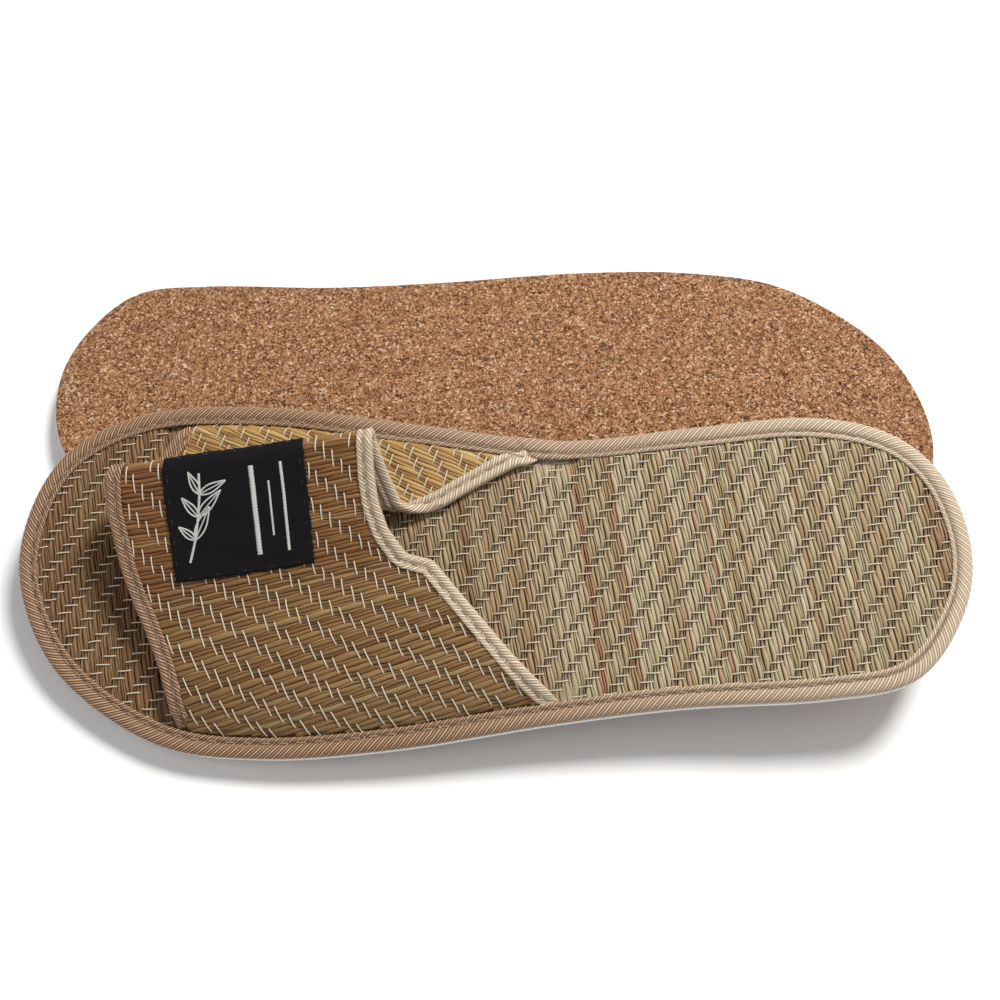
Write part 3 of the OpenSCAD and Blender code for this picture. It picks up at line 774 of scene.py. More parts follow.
def upper_inside(belt, margin=2.4):
    def inside(x, a):
        q = belt.q_at(x, a)
        return (q > 2.4) & (q < 14.7) & (x > front_x(q) + margin) & (x < throat_x(q, belt.s) - margin)
    return inside


def upper_sheet(s, name, low, high, material):
    """The ground of the upper, or its lining: a thin closed sheet between two heights."""
    belt = BELTS[s]
    q = np.unique(np.concatenate([np.linspace(k, k + 1, 9) for k in range(2, 15)]))
    t = np.linspace(0, 1, 40)
    x = front_x(q)[:, None] * (1 - t) + throat_x(q, s)[:, None] * t
    qq = np.broadcast_to(q[:, None], x.shape)
    thick = belt.thickness(qq)
    top = belt_point(x, qq, high * thick, s)
    bottom = belt_point(x, qq, low * thick, s)
    points, faces = slab(top, bottom)
    facts = {"cloth_x": points[:, 0], "cloth_y": points[:, 1]}
    return mesh_object(name, s, points, faces[:, ::-1], material, facts)


def upper_mat(s, ground, straw, thread):
    belt = BELTS[s]
    name = NAMES[s] + "_upper"
    base = upper_sheet(s, name + "_ground", 0.0, 0.4, ground)
    bundles = (-26, 44)
    weave = Weave(upper_lattice, upper_surface(belt), upper_inside(belt), (8, 84), bundles, step=0.34)
    splits = [random.uniform(0.5, 1.5, random.choice([2, 2, 3])) for _ in range(*bundles)]
    points, faces, facts = weave.straws(
        splits, FLAT_STRIP, 0.9, 0.3, lean=0.04, pinch=0.86, bulge=1.12, dome=0.1, side=0.8,
        tone_of=upper_tones, wander=0.02)
    pieces = [base] + split_object(name + "_rush", s, points, faces, facts, straw, 2)
    points, faces, facts = weave.threads(0.4, 1.2, 0.45)
    pieces.append(mesh_object(name + "_thread", s, points, faces, thread, facts))
    return pieces


def upper_tones(bundle):
    """Every straw of the upper has its own tone."""
    return np.clip(random.normal(0.5, 0.2, bundle.shape), 0, 1)


# ---------------------------------------------------------------- tapes on the upper's edges
UPPER_TAPE_FACE = np.array([
    [4.25, 1.25], [4.25, 1.6], [4.0, 1.8], [3.5, 1.87], [3.0, 1.76], [2.6, 1.5], [2.25, 1.36], [1.9, 1.5],
    [1.5, 1.76], [1.0, 1.85], [0.5, 1.82], [0.05, 1.65], [-0.3, 1.3], [-0.48, 0.8], [-0.5, 0.3],
    [-0.42, -0.25], [-0.15, -0.7], [0.3, -0.92], [1.0, -1.0], [1.7, -0.95], [2.25, -0.85], [2.9, -0.97],
    [3.7, -0.98], [4.15, -0.85], [4.25, -0.5]])
UPPER_TAPE_BACK = np.array([[1.2, -0.5], [0.3, -0.2], [0.2, 0.6], [0.5, 1.15], [1.6, 1.3]])


def smoothed(values, window):
    kernel = np.hanning(window + 2)[1:-1]
    kernel /= kernel.sum()
    half = window // 2
    before = 2 * values[0] - values[half:0:-1]
    after = 2 * values[-1] - values[-2:-half - 2:-1]
    return np.convolve(np.concatenate([before, values, after]), kernel, "valid")


def cut_edge(belt, t, q_range, step):
    """The cut edge of the upper on the flattened belt, (x, a), with points `step` apart."""
    q = np.linspace(q_range[0], q_range[1], 900)
    x = front_x(q) if t == 0 else throat_x(q, belt.s)
    a = belt.a_at(x, q)
    s = np.concatenate([[0], np.cumsum(np.hypot(np.diff(x), np.diff(a)))])
    at = np.arange(0, s[-1], step)
    line = np.column_stack([np.interp(at, s, x), np.interp(at, s, a)])
    window = int(4.0 / step) | 1
    return np.column_stack([smoothed(line[:, 0], window), smoothed(line[:, 1], window)])


def inner_normal(line, t):
    d = np.gradient(line, axis=0)
    d /= np.linalg.norm(d, axis=1)[:, None]
    normal = np.column_stack([d[:, 1], -d[:, 0]])
    return normal if t == 0 else -normal


UPPER_TAPE_RANGE = (2.3, 14.75)
TUCK = 6.0            # over this length the tape's ends thin out to slip under the sole's tape


def upper_tape(s, t, name, material):
    belt = BELTS[s]
    line = cut_edge(belt, t, UPPER_TAPE_RANGE, 0.22)
    normal = inner_normal(line, t)
    along = running_length(line)
    across = running_length(UPPER_TAPE_FACE)
    cut = ribbed(along[:, None], (-across if t == 0 else across)[None], UPPER_RIB_DEPTH)
    out_w, out_n = face_normals(UPPER_TAPE_FACE)
    w = UPPER_TAPE_FACE[:, 0] - out_w * cut
    n = UPPER_TAPE_FACE[:, 1] - out_n * cut
    back = np.broadcast_to(UPPER_TAPE_BACK[None], (len(line),) + UPPER_TAPE_BACK.shape)
    w, n = np.concatenate([w, back[..., 0]], 1), np.concatenate([n, back[..., 1]], 1)
    flat = line[:, None] + normal[:, None] * w[..., None]
    edge_q = belt.q_at(line[:, 0], line[:, 1])
    thick = belt.thickness(edge_q)[:, None]
    from_end = np.minimum(along, along[-1] - along)[:, None]
    tuck = 0.3 + 0.7 * np.clip(from_end / TUCK, 0, 1)
    points = belt.point(flat[..., 0], flat[..., 1], n * tuck * (0.35 + 0.65 * thick))
    faces = grid_faces(len(line), w.shape[1], wrap_cols=True)
    if t == 0:
        faces = faces[:, ::-1]
    across = np.concatenate([across, np.full(len(UPPER_TAPE_BACK), across[-1])])
    sign = -1 if t == 0 else 1
    facts = {"along": np.broadcast_to(along[:, None], w.shape),
             "across": np.broadcast_to(sign * across, w.shape),
             # the toe tape takes the dark, shaded end of the tape's painted light, the throat tape the lit
             # end
             "heel": points[..., 0] + (20 if t == 0 else 140),
             # seam marks the dip along the row of stitches, which the tape material paints dark as shade
             "seam": np.exp(-((w - UPPER_SEAM) / 0.4) ** 2)}
    ends = tube_faces(1, len(line), w.shape[1], np.ones((1, len(line)), bool))[1:]
    return mesh_object(name, s, points, [faces] + ends, material, facts)


def upper_stitching(s, t, name, material):
    belt = BELTS[s]
    line = cut_edge(belt, t, (3.4, 13.7), 0.5)
    inner = line + inner_normal(line, t) * UPPER_SEAM
    path = belt.point(inner[:, 0], inner[:, 1], 1.42)
    up = belt.point(inner[:, 0], inner[:, 1], 2.42) - path
    points, faces, facts = stitch_run(path, up, 2.7, 0.45, 0.4)
    return mesh_object(name, s, points, faces, material, facts)


# ---------------------------------------------------------------- label
LABEL_L, LABEL_W = 41.0, 36.0
LABEL_X = 72.5
LABEL_RISE = 3.0      # how far the label sits above the middle of its panel
LABEL_SHEAR = 0.05
HALF_L, HALF_W = LABEL_L / 2, LABEL_W / 2


def label_frame(s):
    """The label's middle on the flattened belt: x, and the running length half way up its panel."""
    belt = BELTS[s]
    a0 = belt.a_at(np.array([LABEL_X]), np.array([7.5]))[0]
    ahead = belt.a_at(np.array([LABEL_X + 5]), np.array([7.5]))[0]
    return a0, (ahead - a0) / 5.0


def on_label(s, u, v, n):
    """A point of the label's panel from u along the slipper and v across it."""
    a0, lean = label_frame(s)
    x = LABEL_X + u - (lean + LABEL_SHEAR) * v
    a = a0 + LABEL_RISE + v + lean * u
    return BELTS[s].point(x, a, n)


def label_outline_pull(u, v):
    """Slightly drawn-in sides with a worn, uneven edge."""
    cu, cv = u / HALF_L, v / HALF_W
    worn_u = 0.006 * np.sin(17 * cv + 1) + 0.005 * np.sin(41 * cv)
    worn_v = 0.006 * np.sin(19 * cu + 2) + 0.005 * np.sin(47 * cu)
    u = u * (1 - 0.012 * cv ** 2 + 0.006 * np.sin(3 * cv) + worn_u * np.abs(cu) ** 9)
    v = v * (1 - 0.015 * cu ** 2 - 0.01 * (np.abs(cu) ** 6) * (np.abs(cv) ** 6) + worn_v * np.abs(cv) ** 9)
    return u, v


def label_rise(s, u, v):
    """Slow waves of the label's cloth, and a curled end where nothing lies on it."""
    waves = 0.1 * np.sin(u * 0.21 + 1) * np.cos(v * 0.17) + 0.06 * np.sin(v * 0.55 + u * 0.2)
    curl = 0.5 * np.clip(-u / HALF_L - 0.6, 0, 1) if s == LEFT else 0
    return (waves + curl) * (1 if s == LEFT else 0.2)


def label_cloth(s, material):
    """The patch, and the height of its face for what is sewn on it."""
    u, v = np.meshgrid(np.linspace(-1, 1, 84) * HALF_L, np.linspace(-1, 1, 74) * HALF_W, indexing="ij")
    edge = np.maximum(np.abs(u) / HALF_L, np.abs(v) / HALF_W)
    hem = np.exp(-((edge - 0.955) / 0.03) ** 2)
    drop = np.clip((edge - 0.97) / 0.03, 0, 1) ** 2
    lift = 1.5 if s == LEFT else UPPER_T + GAP
    top_n = lift + 0.32 + 0.12 * hem + label_rise(s, u, v) - 0.2 * drop
    bottom_n = top_n - 0.4 + 0.25 * drop
    pu, pv = label_outline_pull(u, v)
    points, faces = slab(on_label(s, pu, pv, top_n), on_label(s, pu, pv, bottom_n))
    facts = {"cloth_x": np.tile(u.ravel(), 2), "cloth_y": np.tile(v.ravel(), 2)}
    obj = mesh_object(NAMES[s] + "_label_cloth", s, points, faces, material, facts)
    return obj, lift + 0.34


def label_line(points, step=0.35):
    """A line of embroidery through points (u, v), evenly spaced."""
    points = np.asarray(points, float)
    s = running_length(points)
    at = np.linspace(0, s[-1], max(3, int(s[-1] / step)))
    return np.column_stack([np.interp(at, s, points[:, 0]), np.interp(at, s, points[:, 1])])


def leaf(base, angle, length, width):
    """The outline of a lance-shaped leaf."""
    t = np.linspace(0, 1, 24)
    half = width / 2 * np.sin(np.pi * t ** 0.8) * (1 - 0.25 * t)
    outline = np.vstack([np.column_stack([t * length, half]), np.column_stack([t * length, -half])[::-1]])
    c, s = math.cos(angle), math.sin(angle)
    return outline @ np.array([[c, s], [-s, c]]) + np.asarray(base)


def label_motif_lines():
    """A sprig of bamboo leaves on one half of the label and three plain rules on the other."""
    stem = [(-15.5, -12.5), (-13.2, -6), (-11.6, 0.5), (-10.4, 7), (-10.0, 13)]
    lines = [(stem, 0.75)]
    for base, angle, length, width in [
            ((-13.2, -6), 1.05, 10.5, 3.1), ((-13.2, -6), 2.35, 6.2, 2.3), ((-11.6, 0.5), 0.75, 10.0, 3.0),
            ((-11.6, 0.5), 2.15, 7.4, 2.5), ((-10.4, 7), 0.35, 8.4, 2.7), ((-10.4, 7), 1.95, 7.2, 2.4)]:
        lines.append((leaf(base, angle, length, width), 0.5))
        tip = np.asarray(base) + length * 0.86 * np.array([math.cos(angle), math.sin(angle)])
        lines.append(([base, tip], 0.4))
    lines.append(([(5.0, -13), (5.0, 13)], 1.5))
    lines.append(([(9.6, -8), (9.6, 8)], 0.6))
    lines.append(([(13.6, -13), (13.6, 13)], 0.9))
    return lines


def label_motif(s, height, material):
    """The motif's lines as satin-stitched tubes on the cloth."""
    points, faces, along, count = [], [], [], 0
    ring = np.arange(6) * np.pi / 3
    for line, width in label_motif_lines():
        mid = label_line(line)
        d = np.gradient(mid, axis=0)
        d /= np.linalg.norm(d, axis=1)[:, None] + 1e-9
        side = np.column_stack([-d[:, 1], d[:, 0]])
        zig = 1 + 0.12 * np.sin(np.arange(len(mid)) * 2.4)
        uv = mid[:, None] + side[:, None] * (np.cos(ring)[None] * (width / 2 * zig)[:, None])[..., None]
        n = height + np.sin(ring) * 0.2 * np.ones((len(mid), 1))
        pu, pv = label_outline_pull(uv[..., 0], uv[..., 1])
        points.append(on_label(s, pu, pv, label_rise(s, pu, pv) + n).reshape(-1, 3))
        for f in tube_faces(1, len(mid), 6, np.ones((1, len(mid)), bool)):
            faces.append(f + count)
        along.append(np.repeat(running_length(mid), 6))
        count += len(mid) * 6
    walls = np.concatenate([f for f in faces if f.shape[1] == 4])
    ends = np.concatenate([f for f in faces if f.shape[1] == 6])
    return mesh_object(NAMES[s] + "_label_motif", s, np.concatenate(points), [walls, ends], material,
                       {"along": np.concatenate(along), "across": 0.0})


def label_tacks(s, height, material):
    """Small dark stitches along the four sides."""
    middle = [(k * LABEL_L / 5.2, side * (HALF_W - 1.2), 0) for side in (-1, 1) for k in range(-2, 3)]
    middle += [(side * (HALF_L - 1.3), k * LABEL_W / 6, 1) for side in (-1, 1) for k in range(-2, 3)]
    share = np.linspace(-1, 1, 7)
    ring = np.arange(6) * np.pi / 3
    rows = []
    for u, v, crossways in middle:
        step = share * 0.8
        uu = u + (np.cos(ring)[None] * 0.22 if crossways else step[:, None] + 0 * ring[None])
        vv = v + (step[:, None] + 0 * ring[None] if crossways else np.cos(ring)[None] * 0.22)
        uu, vv = np.broadcast_arrays(uu, vv)
        n = height + 0.05 + np.sin(ring)[None] * 0.15 - 0.2 * np.abs(share[:, None]) ** 3
        rows.append(on_label(s, uu, vv, label_rise(s, uu, vv) + n))
    points = np.stack(rows)
    faces = tube_faces(len(rows), 7, 6, np.ones((len(rows), 7), bool))
    return mesh_object(NAMES[s] + "_label_tacks", s, points, faces, material, {"along": 0.0, "across": 0.0})


# ---------------------------------------------------------------- materials
class Nodes:
    """A short way to write a material's nodes."""

    def __init__(self, name):
        self.material = bpy.data.materials.new(name)
        self.material.use_nodes = True
        self.tree = self.material.node_tree
        self.shader = self.tree.nodes["Principled BSDF"]

    def new(self, kind, **values):
        node = self.tree.nodes.new(kind)
        for key, value in values.items():
            setattr(node, key, value)
        return node

    def link(self, source, target):
        self.tree.links.new(source, target)

    def feed(self, target, value):
        if isinstance(value, (int, float, tuple)):
            target.default_value = value
        else:
            self.link(value, target)

    def fact(self, name):
        return self.new("ShaderNodeAttribute", attribute_name=name).outputs["Fac"]

    def math(self, operation, a, b=0.0, clamp=False):
        node = self.new("ShaderNodeMath", operation=operation, use_clamp=clamp)
        self.feed(node.inputs[0], a)
        self.feed(node.inputs[1], b)
        return node.outputs[0]

    def times(self, a, b, clamp=False):
        return self.math("MULTIPLY", a, b, clamp)

    def plus(self, a, b):
        return self.math("ADD", a, b)

    def minus(self, a, b, clamp=False):
        return self.math("SUBTRACT", a, b, clamp)

    def vector(self, x, y, z=0.0):
        node = self.new("ShaderNodeCombineXYZ")
        for socket, value in zip(node.inputs, (x, y, z)):
            self.feed(socket, value)
        return node.outputs[0]

    def place(self):
        return self.new("ShaderNodeTexCoord").outputs["Object"]

    def span(self, value, low, high):
        """0 at low to 1 at high."""
        node = self.new("ShaderNodeMapRange")
        self.link(value, node.inputs["Value"])
        node.inputs["From Min"].default_value = low
        node.inputs["From Max"].default_value = high
        return node.outputs["Result"]

    def noise(self, vector, scale, detail=3.0, rough=0.5):
        node = self.new("ShaderNodeTexNoise")
        self.link(vector, node.inputs["Vector"])
        node.inputs["Scale"].default_value = scale
        node.inputs["Detail"].default_value = detail
        node.inputs["Roughness"].default_value = rough
        return node.outputs["Fac"]

    def ramp(self, value, stops):
        node = self.new("ShaderNodeValToRGB")
        self.link(value, node.inputs["Fac"])
        elements = node.color_ramp.elements
        while len(elements) < len(stops):
            elements.new(0.5)
        for element, (at, colour) in zip(elements, stops):
            element.position = at
            element.color = (*colour, 1)
        return node.outputs["Color"]

    def mix(self, share, a, b, blend="MIX"):
        node = self.new("ShaderNodeMix", data_type="RGBA", blend_type=blend)
        self.feed(node.inputs["Factor"], share)
        self.feed(node.inputs[6], (*a, 1) if isinstance(a, tuple) and len(a) == 3 else a)
        self.feed(node.inputs[7], (*b, 1) if isinstance(b, tuple) and len(b) == 3 else b)
        return node.outputs[2]

    def bump(self, height, distance, strength=1.0):
        node = self.new("ShaderNodeBump")
        self.link(height, node.inputs["Height"])
        node.inputs["Distance"].default_value = distance
        node.inputs["Strength"].default_value = strength
        self.link(node.outputs["Normal"], self.shader.inputs["Normal"])

    def finish(self, colour, roughness, specular=0.35, sheen=0.0):
        self.feed(self.shader.inputs["Base Color"], (*colour, 1) if isinstance(colour, tuple) else colour)
        self.feed(self.shader.inputs["Roughness"], roughness)
        self.shader.inputs["Specular IOR Level"].default_value = specular
        self.shader.inputs["Sheen Weight"].default_value = sheen
        return self.material


def srgb(r, g, b):
    """A colour from 0-255 display values."""
    return tuple(((c / 255 + 0.055) / 1.055) ** 2.4 if c > 10 else c / 255 / 12.92 for c in (r, g, b))


TINT_FROM, TINT_TO = -40.0, 80.0      # the stretch across the cloth that a rush's tint, and on the upper its painted panel light and shade, cover


def srgb_row(*colours):
    return [srgb(*colour) for colour in colours]


def rush_material(name, colours, toe_colours, toe_fade, streak_and_shade, gloss, tints_and_shade, streaks):
    """Dried rush: `colours` by straw, `toe_colours` near the toe, which are partly the rush's own browner
    colour and partly painted shade, a tint across the cloth, which on the upper also paints light and
    shade on each panel, and how strong the dark `streaks` along each straw are. The streaks' dark colour
    is also painted as shade where the straws dip under the threads and along their sides, less so at the
    toe."""
    m = Nodes(name)
    stops = [(i / (len(colours) - 1), c) for i, c in enumerate(colours)]
    toe_stops = [(i / (len(toe_colours) - 1), c) for i, c in enumerate(toe_colours)]
    tone = m.fact("tone")
    # browner and darker towards the toe: partly the rush's own colour, partly painted shade
    fade = m.span(m.fact("cloth_x"), *toe_fade)
    straw = m.mix(fade, m.ramp(tone, toe_stops), m.ramp(tone, stops))
    along = m.times(m.fact("along"), 0.12)
    across = m.times(m.fact("across"), 6.0)
    streak = m.noise(m.vector(along, across, m.times(tone, 40.0)), 1.0, 4.0, 0.6)
    straw = m.mix(m.times(streak, 0.55), straw, srgb(222, 200, 160), "SOFT_LIGHT")
    dark = m.minus(1.0, m.times(m.minus(streak, 0.35, True), 1.6, True))
    straw = m.mix(m.times(dark, streaks), straw, streak_and_shade)
    # a tint across the cloth; on the upper it also paints light and shade on each panel by how it faces the
    # lamp
    tint_stops = [((y - TINT_FROM) / (TINT_TO - TINT_FROM), c) for y, c in tints_and_shade]
    tint = m.ramp(m.span(m.fact("cloth_y"), TINT_FROM, TINT_TO), tint_stops)
    straw = m.mix(1.0, straw, tint, "MULTIPLY")
    # painted shade: darker where the straws dip under the threads and along their sides, weaker towards the
    # toe
    painted_hollow_shade = m.minus(1.0, m.times(m.fact("depth"), 1.25, True))
    hollow_shade_share = m.plus(0.5, m.times(fade, 0.5))
    colour = m.mix(m.times(painted_hollow_shade, hollow_shade_share), straw, streak_and_shade)
    m.bump(streak, 0.00018, 0.6)
    return m.finish(colour, gloss, 0.4)


def ground_material(name, colour):
    m = Nodes(name)
    fine = m.noise(m.place(), 900.0, 3.0)
    m.bump(fine, 0.0003)
    # its dark brown, seen only in the gaps between bundles, is partly the mat's own colour and partly
    # painted shade of those gaps
    return m.finish(m.mix(fine, tuple(c * 0.6 for c in colour), colour), 0.9, 0.1)


def tape_material(name):
    """Twill tape: slanted ribs of twisted yarn, painted bright on their crests as highlight and darker in
    the grooves between them as shade, the highlights broken up by the yarn; darkest along the seam, which
    is painted shade too, and darker towards the toe and the -y side, lighter towards the heel, as painted
    shade and light.
    """
    m = Nodes(name)
    phase = m.math("DIVIDE", m.plus(m.fact("along"), m.fact("across")), RIB_PITCH)
    wave = m.math("COSINE", m.times(phase, 2 * math.pi))
    slow = m.math("SINE", m.times(phase, math.pi))
    # painted highlight on each rib's top and painted shade between the ribs, broken up by the yarn noise
    crest_highlight = m.minus(0.5, m.times(wave, 0.5))
    crest_highlight = m.times(crest_highlight, m.minus(0.85, m.times(slow, 0.15)))
    twist = m.plus(m.times(m.fact("across"), 2.6), m.times(phase, 0.7))
    yarn = m.noise(m.vector(m.times(phase, 1.5), twist), 1.6, 3.0)
    crest_highlight = m.times(crest_highlight, m.plus(m.times(yarn, 0.9), 0.55), True)
    # painted shade towards the toe and the -y side, painted light towards the heel and on the throat tape
    fade = m.span(m.fact("heel"), 85.0, 270.0)
    groove_shade = m.mix(fade, srgb(90, 57, 36), srgb(172, 142, 112))
    rib = m.mix(fade, srgb(228, 190, 152), srgb(255, 250, 228))
    colour = m.mix(m.math("POWER", crest_highlight, 1.6), groove_shade, rib)
    # painted shade along the dip at the row of stitches
    colour = m.mix(m.times(m.fact("seam"), 0.8), colour, srgb(80, 54, 36))
    weave = m.noise(m.vector(m.fact("along"), m.fact("across")), 5.0, 2.0)
    m.bump(weave, 0.00012, 0.7)
    return m.finish(colour, 0.6, 0.35, 0.1)


def thread_material(name, colour):
    m = Nodes(name)
    twist = m.new("ShaderNodeTexWave")
    m.link(m.vector(m.fact("along"), m.times(m.fact("across"), 0.16)), twist.inputs["Vector"])
    twist.inputs["Scale"].default_value = 1.1
    m.bump(twist.outputs["Fac"], 0.0001, 0.6)
    shade = m.mix(m.times(twist.outputs["Fac"], 0.4), colour, tuple(c * 0.7 for c in colour))
    return m.finish(shade, 0.55, 0.35, 0.1)


def cork_material():
    """Pressed granules: each its own brown, with dark pits between some of them that are painted shade, and
    bright specks that are painted glints of light.
    """
    m = Nodes("cork")
    cells = m.new("ShaderNodeTexVoronoi")
    m.link(m.place(), cells.inputs["Vector"])
    cells.inputs["Scale"].default_value = 1500.0
    parts = m.new("ShaderNodeSeparateColor")
    m.link(cells.outputs["Color"], parts.inputs["Color"])
    tone = m.plus(m.times(m.fact("tone"), 0.12), m.times(parts.outputs["Red"], 0.88))
    colour = m.ramp(tone, [(0.0, srgb(72, 38, 20)), (0.2, srgb(122, 76, 46)), (0.5, srgb(168, 116, 76)),
                           (0.8, srgb(194, 142, 98)), (1.0, srgb(246, 214, 184))])
    fine = m.noise(m.place(), 2300.0, 2.0, 0.6)
    # painted shade: dark pits between the granules
    pit = m.times(m.minus(0.44, fine, True), 10.0, True)
    colour = m.mix(m.times(pit, 0.9), colour, srgb(62, 32, 16))
    # painted highlight: bright glints on the granules
    glint = m.times(m.minus(fine, 0.57, True), 9.0, True)
    colour = m.mix(m.times(glint, 0.75), colour, srgb(246, 212, 180))
    m.bump(m.plus(m.times(parts.outputs["Green"], 0.5), fine), 0.0006, 1.0)
    return m.finish(colour, 0.85, 0.2)


def foam_material():
    m = Nodes("foam")
    fine = m.noise(m.place(), 1600.0, 3.0)
    m.bump(fine, 0.0002, 0.6)
    return m.finish(m.mix(fine, srgb(226, 226, 224), srgb(250, 250, 249)), 0.75, 0.3)


def board_material():
    m = Nodes("board")
    fibre = m.noise(m.place(), 500.0, 4.0)
    m.bump(fibre, 0.0001)
    return m.finish(m.mix(fibre, srgb(196, 180, 150), srgb(222, 208, 180)), 0.9, 0.2)


def lining_material():
    """Plain weave cotton."""
    m = Nodes("lining")
    warp = m.math("SINE", m.times(m.fact("cloth_x"), 9.0))
    weft = m.math("SINE", m.times(m.fact("cloth_y"), 9.0))
    weave = m.plus(m.times(m.times(warp, weft), 0.5), 0.5)
    m.bump(weave, 0.0001, 0.6)
    return m.finish(m.mix(weave, srgb(188, 172, 142), srgb(220, 206, 178)), 0.85, 0.2, 0.2)


def label_material():
    m = Nodes("label_cloth")
    slant = m.plus(m.fact("cloth_x"), m.fact("cloth_y"))
    fine = m.math("SINE", m.times(slant, 11.0))
    cross = m.math("SINE", m.times(m.minus(m.fact("cloth_x"), m.fact("cloth_y")), 15.0))
    weave = m.plus(m.times(m.plus(fine, cross), 0.25), 0.5)
    lint = m.noise(m.place(), 700.0, 3.0)
    shade = m.mix(weave, srgb(14, 12, 15), srgb(30, 28, 31))
    shade = m.mix(m.times(m.minus(lint, 0.6, True), 2.0, True), shade, srgb(44, 41, 42))
    m.bump(weave, 0.0001, 0.5)
    return m.finish(shade, 0.85, 0.12)


def make_materials():
    khaki = srgb_row((186, 142, 104), (226, 198, 156), (230, 214, 172), (255, 238, 202), (214, 160, 124))
    # The brown row here and the warm row below colour the toe end: partly the rush's own colour, partly
    # painted shade
    brown = srgb_row((128, 90, 58), (150, 112, 76), (163, 127, 87), (176, 138, 96), (162, 112, 74))
    tan = srgb_row((150, 106, 64), (192, 146, 92), (218, 174, 114), (240, 200, 136), (255, 236, 172))
    warm = srgb_row((138, 96, 58), (176, 130, 80), (200, 154, 98), (222, 178, 118), (250, 214, 148))
    even = [(TINT_FROM, (0.98, 0.98, 0.98)), (TINT_TO, (0.98, 0.98, 0.98))]
    # the near and label (top) panel darker, the far panel lighter: partly the rush's own hue, partly
    # painted light and shade
    near, top, far = (0.58, 0.54, 0.55), (0.53, 0.41, 0.33), (1.0, 1.0, 0.97)
    panel_light_and_tint = [(TINT_FROM, near), (1, near), (7, top), (38, top), (47, far)]
    return {
        "cork": cork_material(),
        "foam": foam_material(),
        "board": board_material(),
        # the dark streak colour of each rush is also its painted shade under the threads and along the
        # straws' sides
        "insole": rush_material("rush_insole", khaki, brown, toe_fade=(60.0, 190.0), streak_and_shade=srgb(62, 42, 26),
                                gloss=0.5, tints_and_shade=even, streaks=0.6),
        "upper": rush_material("rush_upper", tan, warm, toe_fade=(30.0, 110.0), streak_and_shade=srgb(54, 34, 18),
                               gloss=0.42, tints_and_shade=panel_light_and_tint, streaks=0.5),
        # the mats' ground is dark partly as painted shade of the gaps between bundles
        "ground": ground_material("rush_ground", srgb(92, 68, 46)),
        "lining": lining_material(),
        "tape": tape_material("tape"),
        "thread": thread_material("thread", srgb(232, 218, 196)),
        # the stitch thread's darker tan is partly its own colour, partly painted shade of the stitch holes
        "stitch": thread_material("stitch_thread", srgb(172, 142, 112)),
        "label": label_material(),
        "motif": thread_material("motif_thread", srgb(214, 212, 208)),
        "tack": thread_material("tack_thread", srgb(26, 24, 25)),
    }


# ---------------------------------------------------------------- putting a slipper together
def stand_for(obj, node):
    """Hides the CAD node that a piece stands for, and hands the piece back."""
    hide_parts(node)
    return obj


def build_slipper(s, mats):
    side = NAMES[s]
    stand_for(cork_outsole(s, mats["cork"]), side + "_cork_outsole")
    foam = stand_for(foam_midsole(s, mats["foam"]), side + "_foam_midsole")

    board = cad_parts[side + "_insole_backing"]
    board.data.materials.clear()
    board.data.materials.append(mats["board"])

    insole = insole_mat(s, mats["ground"], mats["insole"], mats["thread"])
    place_weave(side + "_insole_mat")
    stand_for(sole_binding(s, mats["tape"]), side + "_sole_binding")
    stand_for(sole_stitching(s, mats["stitch"]), side + "_sole_stitching")

    upper = upper_mat(s, mats["ground"], mats["upper"], mats["thread"])
    place_weave(side + "_upper_mat")
    lining = upper_sheet(s, side + "_lining", -LINING_T - GAP, -GAP, mats["lining"])
    stand_for(lining, side + "_upper_lining")
    for t, part in ((0, "toe"), (1, "throat")):
        tape = upper_tape(s, t, f"{side}_{part}_tape", mats["tape"])
        thread = upper_stitching(s, t, f"{side}_{part}_thread", mats["stitch"])
        stand_for(tape, f"{side}_{part}_binding")
        stand_for(thread, f"{side}_{part}_stitching")
    declare_upper(s)

    cloth, height = label_cloth(s, mats["label"])
    stand_for(cloth, side + "_label")
    motif = label_motif(s, height, mats["motif"])
    tacks = stand_for(label_tacks(s, height, mats["tack"]), side + "_label_stitching")


def place_weave(node):
    """Hides a mat's CAD node, for which the mat's ground stands; the rush and, last, the threads lie on the
    ground.
    """
    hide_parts(node)


def declare_upper(s):
    """The upper and its lining are cut to the same pattern and sewn in along both long sides. This works
    out that pattern and keeps nothing of it.
    """
    flat, area = upper_pattern(s)


def upper_pattern(s):
    """The flat cut of the upper: its box, and its area, in metres."""
    belt = BELTS[s]
    q = np.linspace(2, 15, 400)
    x0, x1 = front_x(q), throat_x(q, s)
    a = belt.a_at((x0 + x1) / 2, q)
    area = float((np.diff(a) * ((x1 - x0)[1:] + (x1 - x0)[:-1]) / 2).sum())
    width, length = float(a[-1] - a[0]), float(x1.max() - x0.min())
    return (width * MM, length * MM), area * MM * MM


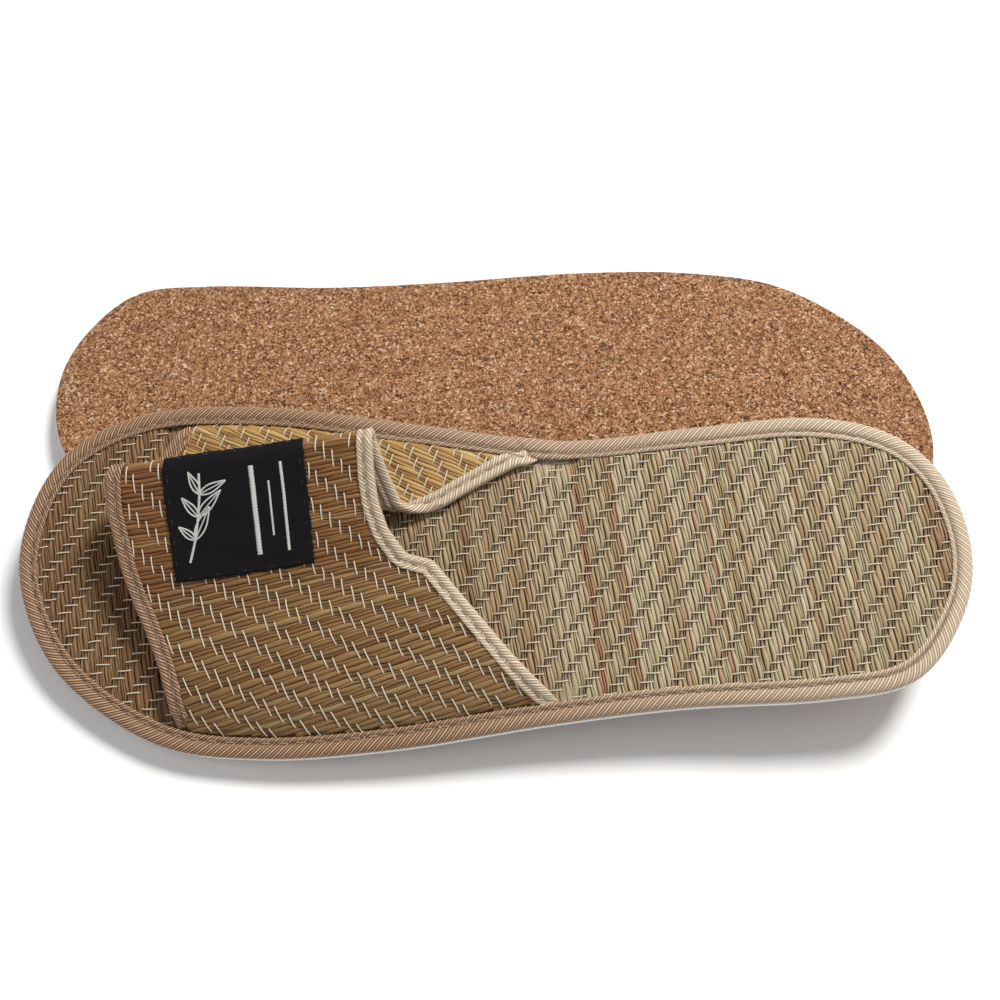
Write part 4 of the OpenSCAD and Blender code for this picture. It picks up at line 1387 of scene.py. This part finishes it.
# ---------------------------------------------------------------- floor, light and camera
WORLD_LIGHT = 0.4
FLOOR_HALF = 3.0
LENS, SENSOR = 46.6, 36.0
CAMERA_AT = (0.0048, -0.1763, 0.3761)
CAMERA_TILT = 25.76


def floor_and_light():
    mesh = bpy.data.meshes.new("floor")
    r = FLOOR_HALF
    mesh.from_pydata([(-r, -r, 0), (r, -r, 0), (r, r, 0), (-r, r, 0)], [], [(0, 1, 2, 3)])
    floor = bpy.data.objects.new("floor", mesh)
    bpy.context.scene.collection.objects.link(floor)
    m = Nodes("floor")
    white = m.mix(m.noise(m.place(), 3.0), srgb(250, 250, 250), srgb(255, 255, 255))
    mesh.materials.append(m.finish(white, 0.9, 0.1))

    world = bpy.data.worlds.new("studio")
    bpy.context.scene.world = world
    world.use_nodes = True
    world.node_tree.nodes["Background"].inputs["Color"].default_value = (1, 1, 1, 1)
    world.node_tree.nodes["Background"].inputs["Strength"].default_value = WORLD_LIGHT

    lamp("key", at=(0.55, 0.6, 1.25), size=0.4, power=20.0, colour=(1.0, 0.985, 0.96))
    lamp("fill", at=(-0.9, -0.6, 1.2), size=1.2, power=1.2, colour=(1.0, 1.0, 1.0))
    bpy.context.scene.view_settings.view_transform = "Standard"


def lamp(name, at, size, power, colour):
    """A round area light at a place, aimed at the middle of the pair."""
    light = bpy.data.lights.new(name, "AREA")
    light.shape = "DISK"
    light.size = size
    light.energy = power
    light.color = colour
    obj = bpy.data.objects.new(name, light)
    obj.location = at
    obj.rotation_euler = (-Vector(at)).to_track_quat("-Z", "Y").to_euler()
    bpy.context.scene.collection.objects.link(obj)


def camera():
    data = bpy.data.cameras.new("camera")
    data.lens = LENS
    data.sensor_width = SENSOR
    obj = bpy.data.objects.new("camera", data)
    obj.location = CAMERA_AT
    obj.rotation_euler = (math.radians(CAMERA_TILT), 0, 0)
    bpy.context.scene.collection.objects.link(obj)
    bpy.context.scene.camera = obj


def main():
    mats = make_materials()
    for s in SIDES:
        build_slipper(s, mats)
    floor_and_light()
    camera()


main()
